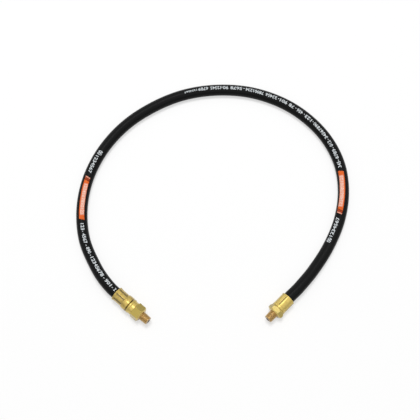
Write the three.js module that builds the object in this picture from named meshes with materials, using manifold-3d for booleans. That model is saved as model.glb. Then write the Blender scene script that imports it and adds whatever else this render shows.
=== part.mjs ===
// Hydraulic hose assembly: a rubber hose with one wire braid, lying in an open loop. One end has a
// crimped brass fitting whose threaded body swivels on its stem, the other a crimped rigid one.
// Millimetres, +Z up. The origin is on the surface that the hose lies on, midway between the ends.

import * as THREE from 'three';
import { mergeVertices } from 'three/addons/utils/BufferGeometryUtils.js';
import Module from 'manifold-3d';

const wasm = await Module();
wasm.setup();

const DEGREE = Math.PI / 180;
const TURN = 2 * Math.PI;

// Clearances
const GAP = 0.3;
const SEAL_GAP = 0.22;
const OVERRUN = 1.0;

// Hose, from the bore outwards
const HOSE_BORE_R = 3.175;
const TUBE_WALL = 0.825;
const BRAID_WALL = 0.5;
const COVER_WALL = 1.25;
const COVER_SQUEEZE = 0.45;
const HOSE_SIDES = 12;
const HOSE_STEPS = 29;
const TUBE_R = HOSE_BORE_R + TUBE_WALL;
const BRAID_BORE_R = TUBE_R + GAP;
const BRAID_R = BRAID_BORE_R + BRAID_WALL;
const COVER_BORE_R = BRAID_R + GAP;
const HOSE_R = COVER_BORE_R + COVER_WALL;
const CRIMPED_R = HOSE_R - COVER_SQUEEZE;

// Ferrules: lengths along the axis from the mouth, and walls outside the bore
const LIP_THICKNESS = 1.5;
const CRIMP_BORE_R = CRIMPED_R + GAP;
const MOUTH_BORE_R = HOSE_R + GAP;
const MOUTH_BORE_RUN = 2.2;
const DIE_COUNT = 8;
const RIDGE_SHARPNESS = 6;
const swivelFerrule = {
  mouthRun: 2.0, easeIn: 3.4, crimpRun: 6.2, easeOut: 4.2, collarRun: 2.7,
  mouthWall: 1.15, crimpWall: 1.25, collarWall: 2.0, ridge: 0.45, chamfer: 0.5, turnDeg: -3,
};
const rigidFerrule = {
  mouthRun: 0.7, easeIn: 0.9, crimpRun: 10.6, easeOut: 0.9, collarRun: 3.1,
  mouthWall: 1.45, crimpWall: 1.7, collarWall: 1.9, ridge: 0.2, chamfer: 0.4, turnDeg: 17,
};

// Stem and insert
const STEM_BORE_R = 1.75;
const TAIL_INSET = 1.2;
const BARB_PITCH = 2.4;
const BARB_DEPTH = 0.35;
const BARB_R = HOSE_BORE_R * Math.cos(Math.PI / HOSE_SIDES) - GAP;
const STOP_THICKNESS = 1.0;
const STOP_STEP = 0.7;
const NECK_WALL = 2.15;
const NECK_R = STEM_BORE_R + NECK_WALL;
const STOP_R = NECK_R + STOP_STEP;
const LIP_HOLE_R = NECK_R + GAP;

// Swivel joint: shoulder, ring land, flange and nose of the stem, and the ring that holds them
const SHOULDER_STEP = 1.3;
const LAND_STEP = 0.3;
const FLANGE_R = 5.65;
const FLANGE_RUN = 2.4;
const FLANGE_STEP = 1.55;
const NOSE_RUN = 4.7;
const NOSE_CHAMFER = 0.4;
const SEAL_SECTION_R = 0.6;
const SEAL_INSET = 1.45;
const RING_THICKNESS = 0.9;
const RING_WIDTH = 1.9;
const RING_OPENING_DEG = 44;
const SHOULDER_R = NECK_R + SHOULDER_STEP;
const LAND_R = NECK_R + LAND_STEP;
const NOSE_R = FLANGE_R - FLANGE_STEP;
const RING_BORE_R = LAND_R + GAP;
const RING_R = RING_BORE_R + RING_WIDTH;

// Swivel body
const GROOVE_RUN = 0.8;
const BODY_LIP = 1.0;
const BODY_COLLAR_RUN = 7.0;
const BODY_COLLAR_WALL = 0.95;
const BODY_CHAMFER = 0.35;
const SWIVEL_HEX_RUN = 11.3;
const WATERWAY_R = 2.0;
const COUNTERBORE_R = FLANGE_R + GAP;
const RING_GROOVE_R = RING_R + GAP;
const SEAL_BORE_R = NOSE_R + GAP;
const BODY_COLLAR_R = RING_GROOVE_R + BODY_COLLAR_WALL;

// Spanner hexagons
const HEX_FLATS = 17;
const HEX_STEP_DEG = 60;
const HEX_CORNER_R = HEX_FLATS / 2 / Math.cos((HEX_STEP_DEG / 2) * DEGREE);
const HEX_CHAMFER_INSET = 0.25;
const HEX_CHAMFER_DEG = 30;
const RIGID_HEX_RUN = 7.3;
const SWIVEL_HEX_ROLL_DEG = 3;
const RIGID_HEX_ROLL_DEG = 38;

// Tapered pipe thread, one eighth
const THREAD_RUN = 9.9;
const THREAD_R = 4.865;
const THREAD_GAUGE = 4.0;
const THREAD_TAPER = 1 / 32;
const THREAD_PITCH = 0.907;
const THREAD_DEPTH = 0.581;
const THREAD_STEPS = 14;
const THREAD_ROW_SHARES = [0, 0.17, 0.5, 0.67];
const THREAD_CREST_SHARES = [0, 0, 1, 1];

// Facets round turned pieces
const TURNED_SIDES = 32;
const FERRULE_SIDES = 48;
const BORE_SIDES = 24;
const SEAL_SIDES = 8;

// Where the two fittings lie: the middle of each ferrule's mouth and the way its tip points
const swivelPlace = { x: -95.24, y: 14.28, lift: 0.2, headingDeg: -41.1 };
const rigidPlace = { x: 94.81, y: 9.33, lift: 0, headingDeg: -134.3 };
const SWIVEL_AXIS_Z = hexReach(SWIVEL_HEX_ROLL_DEG) + swivelPlace.lift;
const RIGID_AXIS_Z = hexReach(RIGID_HEX_ROLL_DEG) + rigidPlace.lift;

// Hose route between the fittings: x, y and how far it is raised from lying flat to its end's axis
const HOSE_LEAD = 5;
const SWIVEL_SIDE_ROUTE = [
  [-104.6, 23.0, 0.97], [-112.5, 32.4, 0.8], [-120.2, 45.1, 0.36], [-133.9, 77.3, 0.03],
  [-138.4, 114.3, 0], [-132.9, 151.3, 0], [-116.9, 187.3, 0], [-91.9, 218.3, 0],
  [-59.9, 241.8, 0], [-23.9, 257.8, 0],
];
const RIGID_SIDE_ROUTE = [
  [15.6, 264.3, 0], [55.6, 261.3, 0], [93.1, 247.8, 0], [121.6, 227.8, 0], [144.1, 201.3, 0],
  [158.1, 169.3, 0], [161.1, 134.8, 0], [154.9, 100.8, 0], [140.6, 68.3, 0.03],
  [122.6, 40.8, 0.36], [111.9, 27.6, 0.8], [103.9, 18.6, 0.97],
];

// Places along each fitting's axis, measured from the ferrule's mouth
const swivelAt = placesAlong(swivelFerrule);
const rigidAt = placesAlong(rigidFerrule);
swivelAt.shoulder = swivelAt.ferruleEnd + GAP;
swivelAt.body = swivelAt.ferruleEnd + GROOVE_RUN;
swivelAt.land = swivelAt.body + BODY_LIP;
swivelAt.ring = swivelAt.land + GAP;
swivelAt.flange = swivelAt.ring + RING_THICKNESS + GAP;
swivelAt.nose = swivelAt.flange + FLANGE_RUN;
swivelAt.noseEnd = swivelAt.nose + NOSE_RUN;
swivelAt.seal = swivelAt.nose + SEAL_INSET + GAP + SEAL_SECTION_R;
swivelAt.hex = swivelAt.body + BODY_COLLAR_RUN;
swivelAt.thread = swivelAt.hex + SWIVEL_HEX_RUN;
rigidAt.hex = rigidAt.ferruleEnd + GAP;
rigidAt.thread = rigidAt.hex + RIGID_HEX_RUN;

// How far below its axis a hexagon reaches when one corner is rolled from the vertical
function hexReach(rollDeg) {
  const half = HEX_STEP_DEG / 2;
  const toCorner = ((rollDeg + half) % HEX_STEP_DEG) - half;
  return HEX_CORNER_R * Math.cos(toCorner * DEGREE);
}

// Ferrule end, its inside face, the hose's end and the stop collar between them
function placesAlong(ferrule) {
  const { mouthRun, easeIn, crimpRun, easeOut, collarRun } = ferrule;
  const ferruleEnd = mouthRun + easeIn + crimpRun + easeOut + collarRun;
  const lip = ferruleEnd - LIP_THICKNESS;
  const stop = lip - GAP - STOP_THICKNESS;
  return { ferruleEnd, lip, stop, hoseEnd: stop - GAP };
}

// A closed geometry as a solid, ready to be cut and joined
function solidFrom(geometry) {
  const bare = geometry.clone();
  bare.deleteAttribute('normal');
  bare.deleteAttribute('uv');
  const merged = mergeVertices(bare);
  const vertProperties = new Float32Array(merged.attributes.position.array);
  const triVerts = new Uint32Array(merged.index.array);
  return new wasm.Manifold(new wasm.Mesh({ numProp: 3, vertProperties, triVerts }));
}

// A solid's vertices and triangles as a geometry
function geometryFrom(solid) {
  const mesh = solid.getMesh();
  const geometry = new THREE.BufferGeometry();
  geometry.setAttribute('position', new THREE.BufferAttribute(mesh.vertProperties, mesh.numProp));
  geometry.setIndex(new THREE.BufferAttribute(mesh.triVerts, 1));
  geometry.computeVertexNormals();
  return geometry;
}

// A profile of [radius, place along the axis] turned about the local Z axis
function turned(profile, sides = TURNED_SIDES) {
  const points = profile.map(([radius, along]) => new THREE.Vector2(radius, along));
  const geometry = new THREE.LatheGeometry(points, sides);
  geometry.rotateX(Math.PI / 2);
  return geometry;
}

// A round bar or bore between two places on the axis
function roundBar(radius, from, to, sides) {
  return solidFrom(turned([[0, from], [radius, from], [radius, to], [0, to]], sides));
}

// A ferrule: flared mouth, crimped middle with a ridge between each pair of dies, round collar
function ferruleGeometry(ferrule, at) {
  const mouthR = MOUTH_BORE_R + ferrule.mouthWall;
  const crimpR = CRIMP_BORE_R + ferrule.crimpWall;
  const collarR = CRIMP_BORE_R + ferrule.collarWall;
  const crimpStart = ferrule.mouthRun + ferrule.easeIn;
  const crimpEnd = crimpStart + ferrule.crimpRun;
  const geometry = turned([
    [MOUTH_BORE_R, 0],
    [mouthR - ferrule.chamfer, 0],
    [mouthR, ferrule.chamfer],
    [mouthR, ferrule.mouthRun],
    [crimpR, crimpStart],
    [crimpR, crimpEnd],
    [collarR, crimpEnd + ferrule.easeOut],
    [collarR, at.ferruleEnd - ferrule.chamfer],
    [collarR - ferrule.chamfer, at.ferruleEnd],
    [LIP_HOLE_R, at.ferruleEnd],
    [LIP_HOLE_R, at.lip],
    [CRIMP_BORE_R, at.lip],
    [CRIMP_BORE_R, MOUTH_BORE_RUN],
    [MOUTH_BORE_R, 0],
  ], FERRULE_SIDES);
  const position = geometry.attributes.position;
  for (let i = 0; i < position.count; i += 1) {
    const x = position.getX(i);
    const y = position.getY(i);
    const atCrimp = Math.abs(Math.hypot(x, y) - crimpR) < GAP / 2;
    if (atCrimp) {
      const dieAngle = DIE_COUNT * Math.atan2(y, x);
      const share = Math.max(0, Math.cos(dieAngle)) ** RIDGE_SHARPNESS;
      const scale = 1 + (ferrule.ridge * share) / crimpR;
      position.setXY(i, x * scale, y * scale);
    }
  }
  geometry.rotateZ(ferrule.turnDeg * DEGREE);
  return geometryFrom(solidFrom(geometry));
}

// Outside of the barbed tail, stop collar and neck, up to where the neck ends
function tailProfile(at, neckEnd) {
  const run = at.stop - TAIL_INSET;
  const barbs = Math.round(run / BARB_PITCH);
  const profile = [];
  for (let k = 0; k < barbs; k += 1) {
    profile.push([BARB_R - BARB_DEPTH, TAIL_INSET + (run * k) / barbs]);
    profile.push([BARB_R, TAIL_INSET + (run * (k + 1)) / barbs]);
  }
  profile.push([STOP_R, at.stop], [STOP_R, at.stop + STOP_THICKNESS]);
  profile.push([NECK_R, at.stop + STOP_THICKNESS], [NECK_R, neckEnd]);
  return profile;
}

// Stem that the swivel body turns on: tail, shoulder, ring land, flange and nose with a seal groove
function stemGeometry(at) {
  const sealStart = at.nose + SEAL_INSET;
  const sealEnd = at.seal + SEAL_SECTION_R + GAP;
  const sealFloorR = SEAL_BORE_R - 2 * (SEAL_SECTION_R + SEAL_GAP);
  return geometryFrom(solidFrom(turned([
    [STEM_BORE_R, TAIL_INSET],
    ...tailProfile(at, at.shoulder),
    [SHOULDER_R, at.shoulder],
    [SHOULDER_R, at.land],
    [LAND_R, at.land],
    [LAND_R, at.flange],
    [FLANGE_R, at.flange],
    [FLANGE_R, at.nose],
    [NOSE_R, at.nose],
    [NOSE_R, sealStart],
    [sealFloorR, sealStart],
    [sealFloorR, sealEnd],
    [NOSE_R, sealEnd],
    [NOSE_R, at.noseEnd - NOSE_CHAMFER],
    [NOSE_R - NOSE_CHAMFER, at.noseEnd],
    [STEM_BORE_R, at.noseEnd],
    [STEM_BORE_R, TAIL_INSET],
  ])));
}

// Spanner hexagon between two places, its corners chamfered at both ends
function hexagon(from, to, rollDeg) {
  const outline = new THREE.Shape();
  for (let turnDeg = 0; turnDeg < 360; turnDeg += HEX_STEP_DEG) {
    const angle = (rollDeg + turnDeg) * DEGREE;
    const place = [HEX_CORNER_R * Math.cos(angle), HEX_CORNER_R * Math.sin(angle)];
    if (turnDeg === 0) outline.moveTo(...place);
    else outline.lineTo(...place);
  }
  const prism = new THREE.ExtrudeGeometry(outline, { depth: to - from, bevelEnabled: false });
  prism.translate(0, 0, from);
  const faceR = HEX_FLATS / 2 - HEX_CHAMFER_INSET;
  const wideR = HEX_CORNER_R + OVERRUN;
  const slope = (wideR - faceR) * Math.tan(HEX_CHAMFER_DEG * DEGREE);
  const envelope = turned([
    [0, from], [faceR, from], [wideR, from + slope], [wideR, to - slope], [faceR, to], [0, to],
  ]);
  return solidFrom(prism).intersect(solidFrom(envelope));
}

// Radius over the thread's crests at a place on the axis
function threadRadius(along, tip) {
  return THREAD_R + (tip - THREAD_GAUGE - along) * THREAD_TAPER;
}

// A tapered rod whose surface is one helical thread, with a cone over each end
function threadedRod(from, tip) {
  const rowsPerTurn = THREAD_ROW_SHARES.length;
  const turns = Math.ceil((tip - from) / THREAD_PITCH) + 2;
  const rows = turns * rowsPerTurn;
  const vertices = [];
  const column = [];
  for (let i = 0; i < THREAD_STEPS; i += 1) {
    column.push(vertices.length / 3);
    const angle = (TURN * i) / THREAD_STEPS;
    const lastRow = i === 0 ? rows + rowsPerTurn : rows;
    for (let j = 0; j <= lastRow; j += 1) {
      const share = Math.floor(j / rowsPerTurn) + THREAD_ROW_SHARES[j % rowsPerTurn];
      const along = from + (share - 1 + i / THREAD_STEPS) * THREAD_PITCH;
      const sunk = THREAD_DEPTH * (1 - THREAD_CREST_SHARES[j % rowsPerTurn]);
      const radius = threadRadius(along, tip) - sunk;
      vertices.push(radius * Math.cos(angle), radius * Math.sin(angle), along);
    }
  }
  const at = (i, j) => (i < THREAD_STEPS ? column[i] + j : column[0] + j + rowsPerTurn);
  const faces = [];
  for (let i = 0; i < THREAD_STEPS; i += 1) {
    for (let j = 0; j < rows; j += 1) {
      faces.push(at(i, j), at(i + 1, j), at(i + 1, j + 1));
      faces.push(at(i, j), at(i + 1, j + 1), at(i, j + 1));
    }
  }
  const rim = (j) => {
    const places = [];
    for (let i = 0; i <= THREAD_STEPS; i += 1) places.push(at(i, j));
    for (let k = rowsPerTurn - 1; k >= 0; k -= 1) places.push(at(0, j + k));
    return places;
  };
  const startApex = vertices.length / 3;
  vertices.push(0, 0, from - 2 * THREAD_PITCH);
  vertices.push(0, 0, tip + 3 * THREAD_PITCH);
  const start = rim(0);
  const end = rim(rows);
  for (let k = 0; k + 1 < start.length; k += 1) {
    faces.push(startApex, start[k + 1], start[k]);
    faces.push(startApex + 1, end[k], end[k + 1]);
  }
  return new wasm.Manifold(new wasm.Mesh({
    numProp: 3,
    vertProperties: new Float32Array(vertices),
    triVerts: new Uint32Array(faces),
  }));
}

// Male pipe thread from a shoulder to its tip, chamfered at the tip and rooted in the shoulder
function maleThread(from, tip) {
  const root = from - OVERRUN;
  const wideR = threadRadius(root, tip) + OVERRUN;
  const tipR = threadRadius(tip, tip) - THREAD_DEPTH;
  const envelope = turned([
    [0, root], [wideR, root], [wideR, tip - (wideR - tipR)], [tipR, tip], [0, tip],
  ]);
  return threadedRod(root, tip).intersect(solidFrom(envelope));
}

// Swivel body: round collar over the stem's flange, hexagon and thread, bored to take the stem
function bodyGeometry(at) {
  const tip = at.thread + THREAD_RUN;
  const collar = turned([
    [0, at.body],
    [BODY_COLLAR_R - BODY_CHAMFER, at.body],
    [BODY_COLLAR_R, at.body + BODY_CHAMFER],
    [BODY_COLLAR_R, at.hex + OVERRUN],
    [0, at.hex + OVERRUN],
  ]);
  const cavity = turned([
    [0, at.body - OVERRUN],
    [COUNTERBORE_R, at.body - OVERRUN],
    [COUNTERBORE_R, at.land],
    [RING_GROOVE_R, at.land],
    [RING_GROOVE_R, at.flange],
    [COUNTERBORE_R, at.flange],
    [COUNTERBORE_R, at.nose + GAP],
    [SEAL_BORE_R, at.nose + GAP],
    [SEAL_BORE_R, at.noseEnd + GAP],
    [WATERWAY_R, at.noseEnd + GAP],
    [WATERWAY_R, tip + OVERRUN],
    [0, tip + OVERRUN],
  ]);
  return geometryFrom(solidFrom(collar)
    .add(hexagon(at.hex, at.thread, SWIVEL_HEX_ROLL_DEG))
    .add(maleThread(at.thread, tip))
    .subtract(solidFrom(cavity)));
}

// Rigid insert: barbed tail, stop collar, neck, hexagon and thread in one piece, bored through
function insertGeometry(at) {
  const tip = at.thread + THREAD_RUN;
  const tail = turned([
    [0, TAIL_INSET],
    ...tailProfile(at, at.hex + OVERRUN),
    [0, at.hex + OVERRUN],
  ]);
  return geometryFrom(solidFrom(tail)
    .add(hexagon(at.hex, at.thread, RIGID_HEX_ROLL_DEG))
    .add(maleThread(at.thread, tip))
    .subtract(roundBar(STEM_BORE_R, TAIL_INSET - OVERRUN, at.hex + OVERRUN, BORE_SIDES))
    .subtract(roundBar(WATERWAY_R, at.hex, tip + OVERRUN, BORE_SIDES)));
}

// Split ring that sits in the body's groove behind the stem's flange
function retainingRingGeometry(at) {
  const half = (RING_OPENING_DEG / 2) * DEGREE;
  const outline = new THREE.Shape();
  outline.absarc(0, 0, RING_R, half, TURN - half, false);
  outline.absarc(0, 0, RING_BORE_R, TURN - half, half, true);
  const settings = { depth: RING_THICKNESS, bevelEnabled: false, curveSegments: BORE_SIDES };
  const geometry = new THREE.ExtrudeGeometry(outline, settings);
  geometry.translate(0, 0, at.ring);
  return geometryFrom(solidFrom(geometry));
}

// Rubber ring that seals the stem's nose in the body
function sealGeometry(at) {
  const centreR = SEAL_BORE_R - SEAL_GAP - SEAL_SECTION_R;
  const geometry = new THREE.TorusGeometry(centreR, SEAL_SECTION_R, SEAL_SIDES, BORE_SIDES);
  geometry.translate(0, 0, at.seal);
  return geometryFrom(solidFrom(geometry));
}

// Frame of a fitting: local Z along its axis towards the tip, local X up, origin at the mouth
function fittingMatrix(place, axisZ) {
  const heading = place.headingDeg * DEGREE;
  const along = new THREE.Vector3(Math.cos(heading), Math.sin(heading), 0);
  const up = new THREE.Vector3(0, 0, 1);
  const side = new THREE.Vector3().crossVectors(along, up);
  const matrix = new THREE.Matrix4().makeBasis(up, side, along);
  return matrix.setPosition(place.x, place.y, axisZ);
}

// Centreline of the hose, from its end inside the swivel ferrule to its end inside the rigid one
function hoseRoute(swivelMatrix, rigidMatrix) {
  const onAxis = (matrix, along) => new THREE.Vector3(0, 0, along).applyMatrix4(matrix);
  const ends = (matrix, at) => [at.hoseEnd, at.hoseEnd / 2, 0, -HOSE_LEAD]
    .map((along) => onAxis(matrix, along));
  const laid = (axisZ) => ([x, y, raisedShare]) => (
    new THREE.Vector3(x, y, HOSE_R + raisedShare * (axisZ - HOSE_R)));
  return new THREE.CatmullRomCurve3([
    ...ends(swivelMatrix, swivelAt),
    ...SWIVEL_SIDE_ROUTE.map(laid(SWIVEL_AXIS_Z)),
    ...RIGID_SIDE_ROUTE.map(laid(RIGID_AXIS_Z)),
    ...ends(rigidMatrix, rigidAt).reverse(),
  ], false, 'centripetal');
}

// A regular outline of the hose's section
function ringOutline(path, radius) {
  for (let k = 0; k < HOSE_SIDES; k += 1) {
    const angle = (TURN * k) / HOSE_SIDES;
    const place = [radius * Math.cos(angle), radius * Math.sin(angle)];
    if (k === 0) path.moveTo(...place);
    else path.lineTo(...place);
  }
  return path;
}

// One layer of the hose, a tube from end to end of the route
function hoseLayer(route, outerR, boreR) {
  const section = ringOutline(new THREE.Shape(), outerR);
  section.holes.push(ringOutline(new THREE.Path(), boreR));
  const settings = { steps: HOSE_STEPS, extrudePath: route, bevelEnabled: false };
  return solidFrom(new THREE.ExtrudeGeometry(section, settings));
}

// What the crimp takes off the cover at one end: a sleeve that starts at the ferrule's mouth
function crimpSleeve(at, matrix) {
  const end = at.hoseEnd + OVERRUN;
  const sleeve = turned([
    [HOSE_R, 0], [HOSE_R + OVERRUN, 0], [HOSE_R + OVERRUN, end], [CRIMPED_R, end],
    [CRIMPED_R, MOUTH_BORE_RUN], [HOSE_R, 0],
  ]);
  return solidFrom(sleeve.applyMatrix4(matrix));
}

// The hose's rubber cover, squeezed where each ferrule holds it
function coverGeometry(route, swivelMatrix, rigidMatrix) {
  return geometryFrom(hoseLayer(route, HOSE_R, COVER_BORE_R)
    .subtract(crimpSleeve(swivelAt, swivelMatrix))
    .subtract(crimpSleeve(rigidAt, rigidMatrix)));
}

// Finishes
function finish(color, roughness, metalness) {
  return new THREE.MeshStandardMaterial({ color, roughness, metalness });
}
const brass = () => finish('#cbb264', 0.28, 1);
const machinedBrass = () => finish('#bea257', 0.24, 1);
const coverRubber = () => finish('#17191a', 0.5, 0);
const tubeRubber = () => finish('#0f1010', 0.6, 0);
const sealRubber = () => finish('#1c1c1e', 0.55, 0);
const braidWire = () => finish('#8f9296', 0.4, 1);
const springSteel = () => finish('#6d7074', 0.35, 1);

// A named piece
function piece(name, geometry, material) {
  const mesh = new THREE.Mesh(geometry, material);
  mesh.name = name;
  return mesh;
}

// A fitting's pieces, placed together
function fitting(matrix, pieces) {
  const group = new THREE.Group();
  matrix.decompose(group.position, group.quaternion, group.scale);
  group.add(...pieces);
  return group;
}

const swivelMatrix = fittingMatrix(swivelPlace, SWIVEL_AXIS_Z);
const rigidMatrix = fittingMatrix(rigidPlace, RIGID_AXIS_Z);
const route = hoseRoute(swivelMatrix, rigidMatrix);

const hoseAssembly = new THREE.Group();
hoseAssembly.add(
  piece('hose_cover', coverGeometry(route, swivelMatrix, rigidMatrix), coverRubber()),
  piece('hose_braid', geometryFrom(hoseLayer(route, BRAID_R, BRAID_BORE_R)), braidWire()),
  piece('hose_inner_tube', geometryFrom(hoseLayer(route, TUBE_R, HOSE_BORE_R)), tubeRubber()),
  fitting(swivelMatrix, [
    piece('swivel_end_ferrule', ferruleGeometry(swivelFerrule, swivelAt), brass()),
    piece('swivel_end_stem', stemGeometry(swivelAt), machinedBrass()),
    piece('swivel_body', bodyGeometry(swivelAt), machinedBrass()),
    piece('swivel_retaining_ring', retainingRingGeometry(swivelAt), springSteel()),
    piece('swivel_o_ring', sealGeometry(swivelAt), sealRubber()),
  ]),
  fitting(rigidMatrix, [
    piece('rigid_end_ferrule', ferruleGeometry(rigidFerrule, rigidAt), brass()),
    piece('rigid_end_insert', insertGeometry(rigidAt), machinedBrass()),
  ]),
);

export default hoseAssembly;
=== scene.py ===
"""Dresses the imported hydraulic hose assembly.

The hose lies in an open loop on a white floor. It carries printed numbers and two orange panels, and
each of its ends is held in a crimped brass fitting. The pieces are modelled straight, in millimetres,
as on a lathe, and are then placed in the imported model's frame, in metres.
"""

import logging
import math
from dataclasses import dataclass
from enum import Enum
from typing import Callable, Sequence

import bmesh
import bpy
import numpy as np
from mathutils import Matrix, Vector


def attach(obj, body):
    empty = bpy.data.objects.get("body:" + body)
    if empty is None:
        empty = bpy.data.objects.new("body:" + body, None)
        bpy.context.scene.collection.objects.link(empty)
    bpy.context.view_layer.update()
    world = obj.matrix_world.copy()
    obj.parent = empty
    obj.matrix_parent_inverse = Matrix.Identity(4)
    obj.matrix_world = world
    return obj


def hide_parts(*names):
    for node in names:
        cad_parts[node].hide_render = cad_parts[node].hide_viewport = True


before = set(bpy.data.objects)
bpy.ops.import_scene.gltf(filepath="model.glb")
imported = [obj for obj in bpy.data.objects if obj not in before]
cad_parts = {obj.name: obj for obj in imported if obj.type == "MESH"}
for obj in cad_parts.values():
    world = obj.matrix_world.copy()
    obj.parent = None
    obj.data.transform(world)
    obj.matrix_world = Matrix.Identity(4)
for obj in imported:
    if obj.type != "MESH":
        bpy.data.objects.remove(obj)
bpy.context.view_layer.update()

LOG = logging.getLogger("hose_assembly")

MM = 0.001
TURN = 2 * math.pi

# The mesh attribute that keeps each place on the straight hose
STRAIGHT = "straight"

Socket = bpy.types.NodeSocket
Colour = tuple[float, float, float]
Place = Callable[[np.ndarray], np.ndarray]
Press = Callable[[np.ndarray, np.ndarray, np.ndarray], np.ndarray]
Section = list[tuple[float, float]]


class Body(Enum):
    """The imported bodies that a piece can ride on."""

    HOSE = "hose_and_stems"
    SWIVEL = "swivel"


class Slot(Enum):
    """The record's finishes."""

    COVER = "cover_rubber"
    WIRE = "braid_wire"
    TUBE = "tube_rubber"
    SEAL = "seal_rubber"
    FERRULE = "ferrule_brass"
    FITTING = "fitting_brass"
    SPRING = "spring_steel"


# Paths that the pieces are placed on


@dataclass(frozen=True)
class FittingPlace:
    """Where a fitting lies.

    Attributes:
        mouth: Middle of its ferrule's mouth, in metres.
        heading_deg: Way that its axis points, from the mouth to the thread.
    """

    mouth: tuple[float, float, float]
    heading_deg: float

    def point(self, along: float) -> Vector:
        """Gives the point on the axis at a length in millimetres from the mouth."""
        heading = math.radians(self.heading_deg)
        return Vector(self.mouth) + Vector((math.cos(heading), math.sin(heading), 0.0)) * along * MM

    def place(self, coords: np.ndarray) -> np.ndarray:
        """Places a turned piece, its axis along X, on this fitting's axis.

        Args:
            coords: Places on the lathe, in millimetres.

        Returns:
            The places in the frame, in metres.
        """
        turned = np.array(Matrix.Rotation(math.radians(self.heading_deg), 3, "Z"))
        return coords @ turned.T * MM + np.array(self.mouth)


class Route:
    """The hose's centreline, from its cut end in the swivel ferrule to that in the rigid ferrule."""

    STEPS = 40

    def __init__(self, points: Sequence[Vector]) -> None:
        """Draws a centripetal curve through the points and measures it.

        Args:
            points: Points on the centreline, in metres.
        """
        self.centres = self._curve(np.array([list(p) for p in points]))
        steps = np.linalg.norm(np.diff(self.centres, axis=0), axis=1)
        self.stations = np.concatenate(([0.0], np.cumsum(steps))) / MM
        tangents = np.gradient(self.centres, self.stations, axis=0)
        tangents /= np.linalg.norm(tangents, axis=1, keepdims=True)
        outward = np.cross((0.0, 0.0, 1.0), tangents)
        self.outward = outward / np.linalg.norm(outward, axis=1, keepdims=True)
        self.upward = np.cross(tangents, self.outward)

    @property
    def length(self) -> float:
        """The centreline's length, in millimetres."""
        return float(self.stations[-1])

    def _curve(self, points: np.ndarray) -> np.ndarray:
        """Gives close points on the centripetal curve through the given ones.

        Args:
            points: The points that the curve goes through.

        Returns:
            The curve's points, STEPS to each stretch.
        """
        padded = np.vstack((2 * points[0] - points[1], points, 2 * points[-1] - points[-2]))
        shares = np.linspace(0.0, 1.0, self.STEPS, endpoint=False)[:, None]
        pieces = []
        for before, start, end, after in zip(padded, padded[1:], padded[2:], padded[3:]):
            lead, span, trail = (
                math.sqrt(np.linalg.norm(b - a)) for a, b in ((before, start), (start, end), (end, after))
            )
            leave = (start - before) / lead - (end - before) / (lead + span) + (end - start) / span
            arrive = (end - start) / span - (after - start) / (span + trail) + (after - end) / trail
            square, cube = shares**2, shares**3
            pieces.append(
                (2 * cube - 3 * square + 1) * start
                + (cube - 2 * square + shares) * leave * span
                + (3 * square - 2 * cube) * end
                + (cube - square) * arrive * span
            )
        return np.vstack((*pieces, points[-1:]))

    def place(self, coords: np.ndarray) -> np.ndarray:
        """Lays a piece that was modelled straight along X on the centreline.

        Args:
            coords: Places on the straight hose, in millimetres: X along it, Y to the loop's outside, Z up.

        Returns:
            The places in the frame, in metres.
        """

        def at(rows: np.ndarray) -> np.ndarray:
            """Reads a row of three numbers at each place's length along the hose."""
            return np.stack([np.interp(coords[:, 0], self.stations, rows[:, i]) for i in range(3)], axis=1)

        across = at(self.outward) * coords[:, 1:2] + at(self.upward) * coords[:, 2:3]
        return at(self.centres) + across * MM


# Turning on the lathe


@dataclass(frozen=True)
class Corner:
    """A corner of a turned section, in millimetres.

    Attributes:
        along: How far along the axis.
        out: How far from the axis.
        round: Radius that breaks the corner.
    """

    along: float
    out: float
    round: float = 0.08


@dataclass(frozen=True)
class Zone:
    """A stretch of a section that is cut finely, so that it can be pressed or threaded.

    Attributes:
        start: Where it starts along the axis.
        end: Where it ends.
        step: The longest cut in it.
    """

    start: float
    end: float
    step: float


# The arc that breaks a corner: its steps, and the most of each line that it takes up
ARC_STEPS = 3
ARC_SHARE = 0.45

# Corners straighter than this aren't broken
STRAIGHTEST_DEG = 176

# How far from the ends of a long line its extra places stand
EDGE_SUPPORT = 0.09


def rounded(corners: Sequence[Corner]) -> Section:
    """Breaks each corner of a closed section with a small arc.

    Args:
        corners: The section's corners in order.

    Returns:
        The section's places, along and out.
    """
    places: Section = []
    for i, corner in enumerate(corners):
        middle = Vector((corner.along, corner.out))
        before = Vector((corners[i - 1].along, corners[i - 1].out)) - middle
        after_corner = corners[(i + 1) % len(corners)]
        after = Vector((after_corner.along, after_corner.out)) - middle
        reach = min(corner.round, before.length * ARC_SHARE, after.length * ARC_SHARE)
        if reach <= 0.0 or before.angle(after) > math.radians(STRAIGHTEST_DEG):
            places.append((corner.along, corner.out))
            continue
        start = middle + before.normalized() * reach
        end = middle + after.normalized() * reach
        for k in range(ARC_STEPS + 1):
            share = k / ARC_STEPS
            place = start * (1 - share) ** 2 + middle * 2 * share * (1 - share) + end * share**2
            places.append((place.x, place.y))
    return places


def refined(section: Section, zones: Sequence[Zone] = ()) -> Section:
    """Adds a place near both ends of each long line, and cuts the lines in the zones finely.

    Args:
        section: A closed section.
        zones: Stretches to cut finely.

    Returns:
        The finer section.
    """
    places: Section = []
    for start, end in zip(section, section[1:] + section[:1]):
        length = math.dist(start, end)
        shares = {0.0}
        if length > 4 * EDGE_SUPPORT:
            shares |= {EDGE_SUPPORT / length, 1 - EDGE_SUPPORT / length}
        run = end[0] - start[0]
        for zone in zones:
            low = max(zone.start, min(start[0], end[0]))
            high = min(zone.end, max(start[0], end[0]))
            if high - low <= zone.step:
                continue
            count = math.ceil((high - low) / zone.step)
            shares |= {(low + (high - low) * k / count - start[0]) / run for k in range(count + 1)}
        kept = 0.0
        for share in sorted(shares):
            if share == 0.0 or (share - kept) * length > EDGE_SUPPORT / 4 and share < 1.0:
                places.append((start[0] + run * share, start[1] + (end[1] - start[1]) * share))
                kept = share
    return places


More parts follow.
